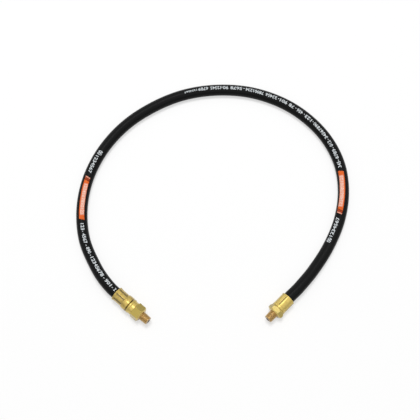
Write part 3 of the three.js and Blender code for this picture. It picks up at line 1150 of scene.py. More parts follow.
@dataclass(frozen=True)
class HosePrint:
    """Lays print and panels round the hose as thin skins that follow its surface.

    Attributes:
        hose: The hose that they lie on.
        skin: Half their thickness.
        cut_along: Longest facet along the hose.
        cut_round: Longest facet round it.
        curve_steps: Steps in each curve of a digit.
        weld: Distance under which two places of a digit are one.
        cut_weld: That distance where a digit is cut.
    """

    hose: Hose
    skin: float = 0.03
    cut_along: float = 1.6
    cut_round: float = 0.55
    curve_steps: int = 3
    weld: float = 1e-4
    cut_weld: float = 1e-5

    def _cut(self, shape: bmesh.types.BMesh, low: Vector, high: Vector) -> None:
        """Cuts a flat shape into narrow facets, so that it can follow the hose.

        Args:
            shape: The shape, flat in X and Y.
            low: Its lowest corner.
            high: Its highest corner.
        """
        for axis, step in ((0, self.cut_along), (1, self.cut_round)):
            normal = Vector((0.0, 0.0, 0.0))
            normal[axis] = 1.0
            count = math.ceil((high[axis] - low[axis]) / step)
            for k in range(1, count):
                point = normal * (low[axis] + (high[axis] - low[axis]) * k / count)
                geometry = [*shape.verts, *shape.edges, *shape.faces]
                bmesh.ops.bisect_plane(
                    shape, geom=geometry, dist=self.cut_weld, plane_co=point, plane_no=normal
                )

    def _wrap(self, start: float, lift: float) -> Place:
        """Makes the bend that lays a flat shape on the straight hose, its middle line on the print's.

        Args:
            start: Where the shape's own X starts along the hose, against the route.
            lift: How far above the cover it lies.

        Returns:
            The bend.
        """

        def bend(coords: np.ndarray) -> np.ndarray:
            """Wraps a flat shape round the hose.

            Args:
                coords: Its flat places.

            Returns:
                The places on the straight hose.
            """
            along = start - coords[:, 0]
            out = self.hose.surface(along) + lift + coords[:, 2]
            angle = np.radians(print_tilt(along)) - coords[:, 1] / HOSE_RADIUS
            return np.stack((along, out * np.sin(angle), out * np.cos(angle)), axis=1)

        return bend

    def digits(self, name: str, groups: Sequence[NumberGroup], lift: float, bold: float) -> bpy.types.Object:
        """Prints groups of digits as one piece.

        Args:
            name: The piece's name.
            groups: The groups.
            lift: How far above the cover they lie.
            bold: How much the strokes are thickened, as a share of the height.

        Returns:
            The piece.
        """
        whole = bmesh.new()
        for group in groups:
            flat = self._flat_digits(group, bold)
            wrap = self._wrap(group.start, lift)
            offset = np.array([[0.0, -group.drop, 0.0]])
            placed = wrap(np.array([list(v.co) for v in flat.verts]) + offset)
            for vertex, co in zip(flat.verts, placed):
                vertex.co = co
            mesh = bpy.data.meshes.new(name)
            flat.to_mesh(mesh)
            flat.free()
            whole.from_mesh(mesh)
            bpy.data.meshes.remove(mesh)
        return piece_from(name, whole, self.hose.route.place, keep_straight=True)

    def _flat_digits(self, group: NumberGroup, bold: float) -> bmesh.types.BMesh:
        """Makes one group of digits flat, at its real size, cut into facets.

        Args:
            group: The group.
            bold: How much the strokes are thickened.

        Returns:
            The flat mesh, its middle line on X.
        """
        text = bpy.data.curves.new("digits", "FONT")
        text.body = group.digits
        text.size = 1.0
        text.offset = bold
        text.resolution_u = self.curve_steps
        text.extrude = 0.5
        holder = bpy.data.objects.new("digits", text)
        bpy.context.collection.objects.link(holder)
        bpy.context.view_layer.update()
        evaluated = holder.evaluated_get(bpy.context.evaluated_depsgraph_get())
        shape = bmesh.new()
        shape.from_mesh(evaluated.to_mesh())
        evaluated.to_mesh_clear()
        bpy.data.objects.remove(holder)
        bpy.data.curves.remove(text)
        bmesh.ops.remove_doubles(shape, verts=shape.verts, dist=self.weld)
        low = Vector([min(v.co[i] for v in shape.verts) for i in range(3)])
        high = Vector([max(v.co[i] for v in shape.verts) for i in range(3)])
        size = high - low
        scale = Vector(((group.start - group.end) / size.x, group.height / size.y, 2 * self.skin / size.z))
        bmesh.ops.translate(shape, verts=shape.verts, vec=Vector((-low.x, -(low.y + high.y) / 2, 0.0)))
        bmesh.ops.scale(shape, verts=shape.verts, vec=scale)
        half = group.height / 2
        self._cut(shape, Vector((0.0, -half, 0.0)), Vector((group.start - group.end, half, 0.0)))
        return shape

    def patch(
        self,
        name: str,
        start: float,
        end: float,
        across: tuple[float, float],
        lift: float,
        slant: float = 0.0,
    ) -> bpy.types.Object:
        """Lays a plain patch on the hose.

        Args:
            name: The piece's name.
            start: Where it starts along the hose.
            end: Where it ends, nearer the swivel end.
            across: Its lowest and highest reach from the middle line, towards the loop's inside.
            lift: How far above the cover it lies.
            slant: How far its ends lean along the hose for each millimetre of height.

        Returns:
            The piece.
        """
        length = start - end
        low, high = across
        shape = bmesh.new()
        cuts = (math.ceil(length / self.cut_along), math.ceil((high - low) / self.cut_round))
        bmesh.ops.create_grid(shape, x_segments=cuts[0], y_segments=cuts[1], size=0.5)
        bmesh.ops.scale(shape, verts=shape.verts, vec=(length, high - low, 1.0))
        bmesh.ops.translate(shape, verts=shape.verts, vec=(length / 2, (low + high) / 2, 0.0))
        for vertex in shape.verts:
            vertex.co.x += vertex.co.y * slant
        bmesh.ops.solidify(shape, geom=shape.faces[:], thickness=2 * self.skin)
        bend = self._wrap(start, lift)
        return piece_from(name, shape, self.hose.route.place, bend, keep_straight=True)


@dataclass(frozen=True)
class Panel:
    """An orange panel with a paler window of digits and two leaning bars at its start.

    Attributes:
        label: What its pieces' names start with.
        start: Where it starts along the hose.
        end: Where it ends, nearer the swivel end.
        half_width: Half its width round the hose.
        digits: The digits in its window.
        pale_bar: How far from its start the paler bar starts and ends.
        red_bar: How far from its start the redder bar starts and ends.
        lead: How far from its start the orange starts.
        block: Length of plain orange before the window.
        tail: Length of plain orange after it.
        lean: How far its ends lean along the hose for each millimetre of height.
        inner_margin: Orange beside the window, towards the loop's inside.
        outer_margin: Orange beside it, towards the outside.
        inset: Distance of the digits from the window's ends.
        headroom: How much higher the window is than the digits.
        bold: How much the digits' strokes are thickened, as a share of their height.
        lifts: Heights of the orange, the window and the digits above the cover.
    """

    label: str
    start: float
    end: float
    half_width: float
    digits: str = "1234567890123"
    pale_bar: tuple[float, float] = (0.3, 1.8)
    red_bar: tuple[float, float] = (2.3, 4.3)
    lead: float = 4.9
    block: float = 3.7
    tail: float = 5.2
    lean: float = 0.27
    inner_margin: float = 0.25
    outer_margin: float = 1.2
    inset: float = 1.0
    headroom: float = 0.8
    bold: float = 0.02
    lifts: tuple[float, float, float] = (0.03, 0.07, 0.10)

    def build(self, print_bench: HosePrint, inks: dict[str, bpy.types.Material]) -> list[bpy.types.Object]:
        """Builds and dresses the panel.

        Args:
            print_bench: Lays skins on the hose.
            inks: Materials by name.

        Returns:
            The pieces.
        """
        ground_lift, window_lift, digits_lift = self.lifts
        wide = (-self.half_width, self.half_width)
        window = (-self.half_width + self.outer_margin, self.half_width - self.inner_margin)
        window_start = self.start - self.lead - self.block
        window_end = self.end + self.tail
        pale, red = ([self.start - far for far in bar] for bar in (self.pale_bar, self.red_bar))
        patches = (
            ("ground", self.start - self.lead, self.end, wide, ground_lift, "orange", self.lean),
            ("bar_pale", *pale, wide, ground_lift, "salmon", self.lean),
            ("bar_red", *red, wide, ground_lift, "red", self.lean),
            ("window", window_start, window_end, window, window_lift, "salmon", 0.0),
        )
        pieces = []
        for part, start, end, across, lift, ink, slant in patches:
            piece = print_bench.patch(f"{self.label}_{part}", start, end, across, lift, slant)
            pieces.append(dress(piece, inks[ink], Body.HOSE, Slot.COVER))
        group = NumberGroup(
            self.digits,
            window_start - self.inset,
            window_end + self.inset,
            window[1] - window[0] - self.headroom,
            -(window[0] + window[1]) / 2,
        )
        piece = print_bench.digits(f"{self.label}_digits", [group], digits_lift, self.bold)
        pieces.append(dress(piece, inks["pale"], Body.HOSE, Slot.COVER))
        return pieces


# Fittings

# Clearance between the pieces inside the fittings
GAP = 0.3

# Slack in finding the places that a cut belongs to
SLACK = 0.01

# Share by which the steps round a pressed piece close up at its edges
GATHER = 0.8

# A stem's bore, and its barbed tail, stop collar and neck
STEM_BORE = 1.75
TAIL_INSET = 1.2
BARB_RADIUS = 2.767
BARB_DEPTH = 0.35
BARB_PITCH = 2.4
BARB_EDGE = 0.05
STOP_RADIUS = 4.6
STOP_RUN = 1.0
NECK_RADIUS = 3.9


@dataclass(frozen=True)
class CrimpedFerrule:
    """A ferrule crimped by dies, which leave a ridge or a groove between each two.

    Attributes:
        name: The piece's name.
        mouth_run: Round run at the mouth.
        ease_in: Run over which it is pressed in.
        crimp_run: Run of the dies.
        ease_out: Run over which it comes back out.
        collar_run: Round run at the end.
        mouth: Outside radius at the mouth.
        crimp: Outside radius between the dies' edges.
        collar: Outside radius at the end.
        ridge: Height of the ridges, or below 0 for grooves.
        flatness: How flat the dies leave each side, from 0 for round to 1 for flat.
        turn_deg: Angle of one ridge or groove from the top.
        edge: Radius that breaks the mouth's edge.
        blend: Radius that breaks the ends of its slopes.
        mouth_bore: Inside radius at the mouth.
        bore: Inside radius beyond it.
        mouth_bore_run: Length of the wider inside.
        lip: Thickness of the lip at the end.
        lip_hole: Radius of the lip's hole.
        dies: Number of ridges or grooves round it.
        ridge_width: Half the width of each.
        groove_shade_reach: How far the painted shade reaches from each, round the ferrule.
        cut: The longest cut along the pressed run.
        steps: Steps round it.
    """

    name: str
    mouth_run: float
    ease_in: float
    crimp_run: float
    ease_out: float
    collar_run: float
    mouth: float
    crimp: float
    collar: float
    ridge: float
    flatness: float
    turn_deg: float
    edge: float = 0.35
    blend: float = 0.9
    mouth_bore: float = 6.65
    bore: float = 6.2
    mouth_bore_run: float = 2.2
    lip: float = 1.5
    lip_hole: float = 4.2
    dies: int = 8
    ridge_width: float = 0.42
    groove_shade_reach: float = 1.2
    cut: float = 0.3
    steps: int = 192

    @property
    def length(self) -> float:
        """The ferrule's length."""
        return self.mouth_run + self.ease_in + self.crimp_run + self.ease_out + self.collar_run

    @property
    def die_end(self) -> float:
        """Where the dies end."""
        return self.length - self.collar_run - self.ease_out

    @property
    def stop_start(self) -> float:
        """Where the stop collar of the stem inside starts."""
        return self.length - self.lip - GAP - STOP_RUN

    def _press(self, along: np.ndarray, out: np.ndarray, angle: np.ndarray) -> np.ndarray:
        """Presses the dies' flats, and the ridges or grooves between them.

        Args:
            along: Places along the axis.
            out: Distances from it.
            angle: Angles from the top.

        Returns:
            The new distances.
        """
        start, end = self.mouth_run, self.die_end
        pressed_in = eased(along, start * 0.3, start + 0.8)
        let_out = eased(along, end - 0.3, end + 0.5)
        held = pressed_in * (1 - let_out)
        sector = TURN / self.dies
        off_ridge = np.mod(angle - math.radians(self.turn_deg) + sector / 2, sector) - sector / 2
        off_flat = sector / 2 - np.abs(off_ridge)
        flat = math.cos(sector / 2) / np.cos(off_flat)
        side = self.crimp * ((1 - self.flatness) + self.flatness * flat)
        ridge = self.ridge * np.exp(-((off_ridge * self.crimp / self.ridge_width) ** 2))
        outside = eased(out, self.bore + 0.6, self.bore + 1.1)
        return out + (side + ridge - self.crimp) * held * outside

    def build(self, place: FittingPlace, material: bpy.types.Material, node: str) -> bpy.types.Object:
        """Builds and dresses the ferrule.

        Args:
            place: The fitting that it belongs to.
            material: Its finish.
            node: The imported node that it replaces.

        Returns:
            The piece.
        """
        start, end = self.mouth_run, self.length - self.collar_run
        rise = self.collar - self.crimp
        corners = [
            Corner(0, self.mouth_bore, 0.15),
            Corner(0, self.mouth, self.edge),
            Corner(start, self.mouth, self.blend),
            Corner(start + self.ease_in, self.crimp, self.blend),
            Corner(self.die_end, self.crimp, 0.2),
            Corner(self.die_end + self.ease_out * 0.2, self.crimp + rise * 0.6, 0.35),
            Corner(end, self.collar, self.blend),
            Corner(self.length, self.collar, 0.15),
            Corner(self.length, self.lip_hole),
            Corner(self.length - self.lip, self.lip_hole),
            Corner(self.length - self.lip, self.bore),
            Corner(self.mouth_bore_run, self.bore),
        ]
        shape = turned(refined(rounded(corners), [Zone(start * 0.5, end, self.cut)]), self.steps)
        bend = pressed(self._press, self.dies, GATHER, self.turn_deg)
        piece = piece_from(self.name, shape, place.place, bend)
        return dress(piece, material, Body.HOSE, Slot.FERRULE, node)


@dataclass(frozen=True)
class Hexagon:
    """A spanner hexagon with chamfered corners.

    Attributes:
        start: Where it starts along the axis.
        run: Its length.
        roll_deg: Angle of one corner from the top.
        flats: Width across its flats.
        back_face: Radius of its flat face towards the hose.
        front_face: Radius of its flat face towards the thread.
        back_chamfer_deg: Angle between the back chamfer and its face.
        front_chamfer_deg: Angle between the front chamfer and its face.
        edge: Radius that breaks the six long edges.
        face_edge: Radius that breaks the faces' edges.
        cut: The longest cut in the chamfers.
        cut_margin: How far past each chamfer the fine cuts go.
    """

    SIDES = 6
    SIXTH = math.radians(60)

    start: float
    run: float
    roll_deg: float
    flats: float = 16.4
    back_face: float = 8.0
    front_face: float = 6.8
    back_chamfer_deg: float = 30.0
    front_chamfer_deg: float = 32.0
    edge: float = 0.22
    face_edge: float = 0.06
    cut: float = 0.08
    cut_margin: float = 0.12

    @property
    def corner(self) -> float:
        """Radius over the corners."""
        return self.flats / 2 / math.cos(self.SIXTH / 2)

    @property
    def slopes(self) -> tuple[float, float]:
        """How fast the back and the front chamfers rise along the axis."""
        back, front = math.radians(self.back_chamfer_deg), math.radians(self.front_chamfer_deg)
        return 1 / math.tan(back), 1 / math.tan(front)

    @property
    def chamfer_runs(self) -> tuple[float, float]:
        """Lengths of the back and the front chamfers at a corner."""
        back, front = self.slopes
        return (self.corner - self.back_face) / back, (self.corner - self.front_face) / front

    @property
    def end(self) -> float:
        """Where it ends along the axis."""
        return self.start + self.run

    def corners(self) -> list[Corner]:
        """Gives the outside of its turned envelope.

        Returns:
            The corners, from the back face to the front face.
        """
        back, front = self.chamfer_runs
        return [
            Corner(self.start, self.back_face, self.face_edge),
            Corner(self.start + back, self.corner, 0.0),
            Corner(self.end - front, self.corner, 0.0),
            Corner(self.end, self.front_face, self.face_edge),
        ]

    def zones(self) -> list[Zone]:
        """Gives the stretches where its chamfers need fine cuts.

        Returns:
            The back and the front stretch.
        """
        back, front = self.chamfer_runs
        return [
            Zone(self.start, self.start + back + self.cut_margin, self.cut),
            Zone(self.end - front - self.cut_margin, self.end, self.cut),
        ]

    def outline(self, angle: np.ndarray) -> np.ndarray:
        """Gives the distance from the axis to its rounded outline.

        Args:
            angle: Angle from the top.

        Returns:
            The distances.
        """
        sixth = self.SIXTH
        off_corner = np.abs(np.mod(angle - math.radians(self.roll_deg) + sixth / 2, sixth) - sixth / 2)
        apothem = self.flats / 2
        flat = apothem / np.cos(sixth / 2 - off_corner)
        centre = (apothem - self.edge) / math.cos(sixth / 2)
        square = self.edge**2 - (centre * np.sin(off_corner)) ** 2
        arc = centre * np.cos(off_corner) + np.sqrt(np.maximum(square, 0.0))
        switch = sixth / 2 - math.atan((apothem - self.edge) * math.tan(sixth / 2) / apothem)
        return np.where(off_corner < switch, arc, flat)

    def press(self, along: np.ndarray, out: np.ndarray, angle: np.ndarray) -> np.ndarray:
        """Cuts the envelope down to the hexagon."""
        inside = (along > self.start - SLACK) & (along < self.end + SLACK)
        return np.where(inside, np.minimum(out, self.outline(angle)), out)


@dataclass(frozen=True)
class TaperThread:
    """A male taper pipe thread.

    Attributes:
        start: Where it leaves the hexagon.
        run: Its length to the tip.
        gauge_radius: Radius over its crests at the gauge plane.
        gauge_run: Distance of that plane from the tip.
        taper: How fast the radius falls towards the tip.
        pitch: Length of one turn.
        depth: Depth from crest to root.
        crest_share: Share of half a pitch that is crest.
        flank_share: Share of half a pitch that is flank.
        first_share: Share of the depth that the groove starts with.
        deepening: Distances from its start between which the groove reaches its depth.
        tip_depth: How much deeper than the roots the tip's chamfer goes.
        cuts_to_a_pitch: Cuts along each pitch.
    """

    start: float
    run: float = 9.9
    gauge_radius: float = 4.865
    gauge_run: float = 4.0
    taper: float = 1 / 32
    pitch: float = 0.907
    depth: float = 0.581
    crest_share: float = 0.3
    flank_share: float = 0.55
    first_share: float = 0.75
    deepening: tuple[float, float] = (0.1, 0.7)
    tip_depth: float = 0.15
    cuts_to_a_pitch: int = 12

    @property
    def tip(self) -> float:
        """Where it ends."""
        return self.start + self.run

    def crest(self, along: float | np.ndarray) -> float | np.ndarray:
        """Gives the radius over the crests at a place on the axis."""
        return self.gauge_radius + (self.tip - self.gauge_run - along) * self.taper

    def corners(self, bore: float) -> list[Corner]:
        """Gives the outside of its envelope, from the hexagon's face to the bore at the tip.

        Args:
            bore: Radius of the waterway.

        Returns:
            The corners.
        """
        chamfer = self.depth + self.tip_depth
        return [
            Corner(self.start, self.crest(self.start), 0.05),
            Corner(self.tip - chamfer, self.crest(self.tip), 0.05),
            Corner(self.tip, self.crest(self.tip) - chamfer, 0.12),
            Corner(self.tip, bore, 0.25),
        ]

    def zone(self) -> Zone:
        """Gives the stretch that needs fine cuts."""
        return Zone(self.start, self.tip, self.pitch / self.cuts_to_a_pitch)

    def press(self, along: np.ndarray, out: np.ndarray, angle: np.ndarray) -> np.ndarray:
        """Cuts the helical groove into the envelope.

        Args:
            along: Places along the axis.
            out: Distances from it.
            angle: Angles from the top.

        Returns:
            The new distances.
        """
        turn = along / self.pitch - angle / TURN
        off_crest = np.abs(np.mod(turn, 1.0) - 0.5) * 2
        sunk = self.depth * np.clip((off_crest - self.crest_share) / self.flank_share, 0.0, 1.0)
        deeper = eased(along, *(self.start + far for far in self.deepening))
        groove = self.crest(along) - sunk * (self.first_share + (1 - self.first_share) * deeper)
        inside = along > self.start + 2 * SLACK
        return np.where(inside, np.minimum(out, groove), out)


def threaded(hexagon: Hexagon, thread: TaperThread) -> Place:
    """Makes the bend that cuts a hexagon and the thread beyond it.

    Args:
        hexagon: The hexagon.
        thread: The thread.

    Returns:
        The bend.
    """

    def cut(along: np.ndarray, out: np.ndarray, angle: np.ndarray) -> np.ndarray:
        """Cuts the hexagon and the thread."""
        return thread.press(along, hexagon.press(along, out, angle), angle)

    return pressed(cut, hexagon.SIDES, GATHER, hexagon.roll_deg)


def tail_corners(stop: float, neck_end: float) -> list[Corner]:
    """Gives the outside of a barbed tail with its stop collar and neck.

    Args:
        stop: Where the stop collar starts.
        neck_end: Where the neck ends.

    Returns:
        The corners, from the bore at the tail's end on.
    """
    run = stop - TAIL_INSET
    count = round(run / BARB_PITCH)
    corners = [Corner(TAIL_INSET, STEM_BORE)]
    for k in range(count):
        corners.append(Corner(TAIL_INSET + run * k / count, BARB_RADIUS - BARB_DEPTH, BARB_EDGE))
        corners.append(Corner(TAIL_INSET + run * (k + 1) / count, BARB_RADIUS, BARB_EDGE))
    corners += [Corner(stop, STOP_RADIUS), Corner(stop + STOP_RUN, STOP_RADIUS)]
    corners += [Corner(stop + STOP_RUN, NECK_RADIUS), Corner(neck_end, NECK_RADIUS)]
    return corners


@dataclass(frozen=True)
class SwivelEnd:
    """The left fitting: ferrule, stem, swivel body, retaining ring and seal.

    Attributes:
        place: Where it lies.
        ferrule: Its ferrule.
        hex_roll_deg: Angle of one of the hexagon's corners from the top.
        hex_run: Length of the hexagon.
        groove_run: Distance between the ferrule and the body.
        lip_run: Length of the body's lip over the stem's shoulder.
        ring_run: Thickness of the retaining ring.
        flange_run: Length of the stem's flange.
        nose_run: Length of its nose.
        seal_inset: Distance along the nose to the seal's groove.
        seal_section: Half the seal's thickness.
        seal_gap: Clearance over and under the seal.
        shoulder: Radius of the stem's shoulder.
        land: Radius of the stem inside the retaining ring.
        flange: Radius of its flange.
        nose: Radius of its nose.
        ring: Outside radius of the retaining ring.
        ring_opening_deg: Angle of that ring's opening.
        collar_run: Length of the body's round collar, with its rim.
        collar: Radius of that collar.
        rim: Radius of the rim at its start.
        rim_run: Length of that rim.
        rim_fall: Run over which it falls to the collar.
        waterway: Radius of the body's waterway.
        steps: Steps round the body.
        stem_steps: Steps round the stem.
        ring_steps: Steps round the retaining ring.
        seal_steps: Steps round the seal.
        seal_sides: Sides of the seal's section.
    """

    place: FittingPlace
    ferrule: CrimpedFerrule
    hex_roll_deg: float = -8.5
    hex_run: float = 10.4
    groove_run: float = 1.1
    lip_run: float = 1.0
    ring_run: float = 0.9
    flange_run: float = 2.4
    nose_run: float = 4.7
    seal_inset: float = 1.45
    seal_section: float = 0.6
    seal_gap: float = 0.22
    shoulder: float = 5.2
    land: float = 4.2
    flange: float = 5.65
    nose: float = 4.1
    ring: float = 6.4
    ring_opening_deg: float = 44.0
    collar_run: float = 6.5
    collar: float = 7.9
    rim: float = 8.6
    rim_run: float = 1.9
    rim_fall: float = 0.9
    waterway: float = 2.0
    steps: int = 144
    stem_steps: int = 96
    ring_steps: int = 72
    seal_steps: int = 64
    seal_sides: int = 20

    @property
    def body_start(self) -> float:
        """Where the swivel body starts."""
        return self.ferrule.length + self.groove_run

    @property
    def land_start(self) -> float:
        """Where the stem narrows for the retaining ring."""
        return self.body_start + self.lip_run

    @property
    def flange_start(self) -> float:
        """Where the stem's flange starts."""
        return self.land_start + GAP + self.ring_run + GAP

    @property
    def nose_start(self) -> float:
        """Where the stem's nose starts."""
        return self.flange_start + self.flange_run

    @property
    def nose_end(self) -> float:
        """Where the stem's nose ends."""
        return self.nose_start + self.nose_run

    @property
    def hexagon(self) -> Hexagon:
        """The body's hexagon."""
        return Hexagon(self.body_start + self.collar_run, self.hex_run, self.hex_roll_deg)

    @property
    def thread(self) -> TaperThread:
        """The body's thread."""
        return TaperThread(self.hexagon.end)

    def _stem(self) -> bmesh.types.BMesh:
        """Turns the stem.

        Returns:
            Its mesh.
        """
        seal_start = self.nose_start + self.seal_inset
        seal_end = seal_start + 2 * self.seal_section + 2 * GAP
        floor = self.nose + GAP - 2 * (self.seal_section + self.seal_gap)
        shoulder_start = self.ferrule.length + GAP
        corners = [
            *tail_corners(self.ferrule.stop_start, shoulder_start),
            Corner(shoulder_start, self.shoulder, 0.12),
            Corner(self.land_start, self.shoulder, 0.12),
            Corner(self.land_start, self.land),
            Corner(self.flange_start, self.land),
            Corner(self.flange_start, self.flange, 0.12),
            Corner(self.nose_start, self.flange, 0.12),
            Corner(self.nose_start, self.nose),
            Corner(seal_start, self.nose),
            Corner(seal_start, floor),
            Corner(seal_end, floor),
            Corner(seal_end, self.nose),
            Corner(self.nose_end, self.nose, 0.4),
            Corner(self.nose_end, STEM_BORE),
        ]
        return turned(refined(rounded(corners)), self.stem_steps)

    def _body(self) -> bmesh.types.BMesh:
        """Turns the swivel body's envelope.

        Returns:
            Its mesh.
        """
        counterbore = self.flange + GAP
        ring_groove = self.ring + GAP
        seal_bore = self.nose + GAP
        hexagon, thread = self.hexagon, self.thread
        corners = [
            Corner(self.body_start, counterbore, 0.15),
            Corner(self.body_start, self.rim, 0.5),
            Corner(self.body_start + self.rim_run, self.rim, 0.6),
            Corner(self.body_start + self.rim_run + self.rim_fall, self.collar, 0.5),
            Corner(hexagon.start, self.collar, 0.12),
            *hexagon.corners(),
            *thread.corners(self.waterway),
            Corner(self.nose_end + GAP, self.waterway),
            Corner(self.nose_end + GAP, seal_bore),
            Corner(self.nose_start + GAP, seal_bore),
            Corner(self.nose_start + GAP, counterbore),
            Corner(self.flange_start, counterbore),
            Corner(self.flange_start, ring_groove),
            Corner(self.land_start, ring_groove),
            Corner(self.land_start, counterbore),
        ]
        section = refined(rounded(corners), [*hexagon.zones(), thread.zone()])
        return turned(section, self.steps)

    def _ring(self) -> bmesh.types.BMesh:
        """Turns the split retaining ring through all but its opening.

        Returns:
            Its mesh.
        """
        start = self.land_start + GAP
        end = start + self.ring_run
        inside = self.land + GAP
        places = ((start, inside), (start, self.ring), (end, self.ring), (end, inside))
        opening = math.radians(self.ring_opening_deg)
        shape = turned(rounded([Corner(*place) for place in places]), self.ring_steps, TURN - opening)
        half_back = Matrix.Rotation(-opening / 2, 3, "X")
        bmesh.ops.rotate(shape, verts=shape.verts, cent=(0, 0, 0), matrix=half_back)
        return shape

    def _seal(self) -> bmesh.types.BMesh:
        """Turns the rubber ring.

        Returns:
            Its mesh.
        """
        middle = self.nose_start + self.seal_inset + GAP + self.seal_section
        out = self.nose + GAP - self.seal_gap - self.seal_section
        angles = [TURN * k / self.seal_sides for k in range(self.seal_sides)]
        section = [
            (middle + self.seal_section * math.cos(angle), out + self.seal_section * math.sin(angle))
            for angle in angles
        ]
        return turned(section, self.seal_steps)

    def build(self) -> list[bpy.types.Object]:
        """Builds and dresses the fitting.

        Returns:
            The pieces.
        """
        place = self.place
        sleeve_brass = Brass(
            "swivel_ferrule_brass", place, yellow=(0.490, 0.350, 0.078), olive=(0.310, 0.215, 0.040),
            ferrule=self.ferrule,
        )
        body_brass = Brass("swivel_body_brass", place, hexagon=self.hexagon, thread=self.thread)
        stem_brass = Brass("swivel_stem_brass", place, rough=0.24)
        cut = threaded(self.hexagon, self.thread)
        stem = piece_from("stem_of_swivel", self._stem(), place.place)
        body = piece_from("body_of_swivel", self._body(), place.place, cut)
        ring = piece_from("ring_of_swivel", self._ring(), place.place)
        seal = piece_from("seal_of_swivel", self._seal(), place.place)
        return [
            self.ferrule.build(place, sleeve_brass.material(), "swivel_end_ferrule"),
            dress(stem, stem_brass.material(), Body.HOSE, Slot.FITTING, "swivel_end_stem"),
            dress(body, body_brass.material(), Body.SWIVEL, Slot.FITTING, "swivel_body"),
            dress(ring, SpringSteel().material(), Body.SWIVEL, Slot.SPRING, "swivel_retaining_ring"),
            dress(seal, InnerRubber("seal_rubber").material(), Body.HOSE, Slot.SEAL, "swivel_o_ring"),
        ]


@dataclass(frozen=True)
class RigidEnd:
    """The right fitting: ferrule, and an insert with its hexagon and thread in one piece.

    Attributes:
        place: Where it lies.
        ferrule: Its ferrule.
        hex_roll_deg: Angle of one of the hexagon's corners from the top.
        hex_run: Length of the hexagon.
        back_chamfer_deg: Angle between the hexagon's back chamfer and its face.
        thread_run: Length of the thread.
        seat_gap: Distance between the ferrule and the hexagon.
        waterway: Radius of the waterway through the hexagon and the thread.
        steps: Steps round the insert.
    """

    place: FittingPlace
    ferrule: CrimpedFerrule
    hex_roll_deg: float = 32.3
    hex_run: float = 7.0
    back_chamfer_deg: float = 60.0
    thread_run: float = 9.6
    seat_gap: float = 0.08
    waterway: float = 2.0
    steps: int = 144

    @property
    def hexagon(self) -> Hexagon:
        """The insert's hexagon."""
        start, chamfer = self.ferrule.length + self.seat_gap, self.back_chamfer_deg
        return Hexagon(start, self.hex_run, self.hex_roll_deg, back_chamfer_deg=chamfer)

    @property
    def thread(self) -> TaperThread:
        """The insert's thread."""
        return TaperThread(self.hexagon.end, self.thread_run)

    def _insert(self) -> bmesh.types.BMesh:
        """Turns the insert's envelope.

        Returns:
            Its mesh.
        """
        hexagon, thread = self.hexagon, self.thread
        corners = [
            *tail_corners(self.ferrule.stop_start, hexagon.start),
            *hexagon.corners(),
            *thread.corners(self.waterway),
            Corner(hexagon.start, self.waterway),
            Corner(hexagon.start, STEM_BORE),
        ]
        section = refined(rounded(corners), [*hexagon.zones(), thread.zone()])
        return turned(section, self.steps)

    def build(self) -> list[bpy.types.Object]:
        """Builds and dresses the fitting.

        Returns:
            The pieces.
        """
        place = self.place
        sleeve_brass = Brass("rigid_ferrule_brass", place, ferrule=self.ferrule)
        insert_brass = Brass("rigid_insert_brass", place, hexagon=self.hexagon, thread=self.thread)
        cut = threaded(self.hexagon, self.thread)
        insert = piece_from("insert_of_rigid_end", self._insert(), place.place, cut)
        return [
            self.ferrule.build(place, sleeve_brass.material(), "rigid_end_ferrule"),
            dress(insert, insert_brass.material(), Body.HOSE, Slot.FITTING, "rigid_end_insert"),
        ]


# The studio


def grey(level: float) -> Colour:
    """Gives a plain grey."""
    return (level, level, level)


@dataclass(frozen=True)
class Lamp:
    """A soft rectangular lamp that faces a point, and that metal doesn't mirror.

    Attributes:
        name: Its name.
        at: Where it stands.
        size: Its width and depth.
        power: Its power in watts.
        aim: The point that it faces.
    """

    name: str
    at: tuple[float, float, float]
    size: tuple[float, float]
    power: float
    aim: tuple[float, float, float] = (0.01, 0.11, 0.0)

    def build(self) -> None:
        """Builds the lamp."""
        data = bpy.data.lights.new(self.name, "AREA")
        data.shape = "RECTANGLE"
        data.size, data.size_y = self.size
        data.energy = self.power
        lamp = bpy.data.objects.new(self.name, data)
        lamp.location = self.at
        lamp.visible_glossy = False
        lamp.rotation_euler = (Vector(self.aim) - Vector(self.at)).to_track_quat("-Z", "Y").to_euler()
        bpy.context.collection.objects.link(lamp)


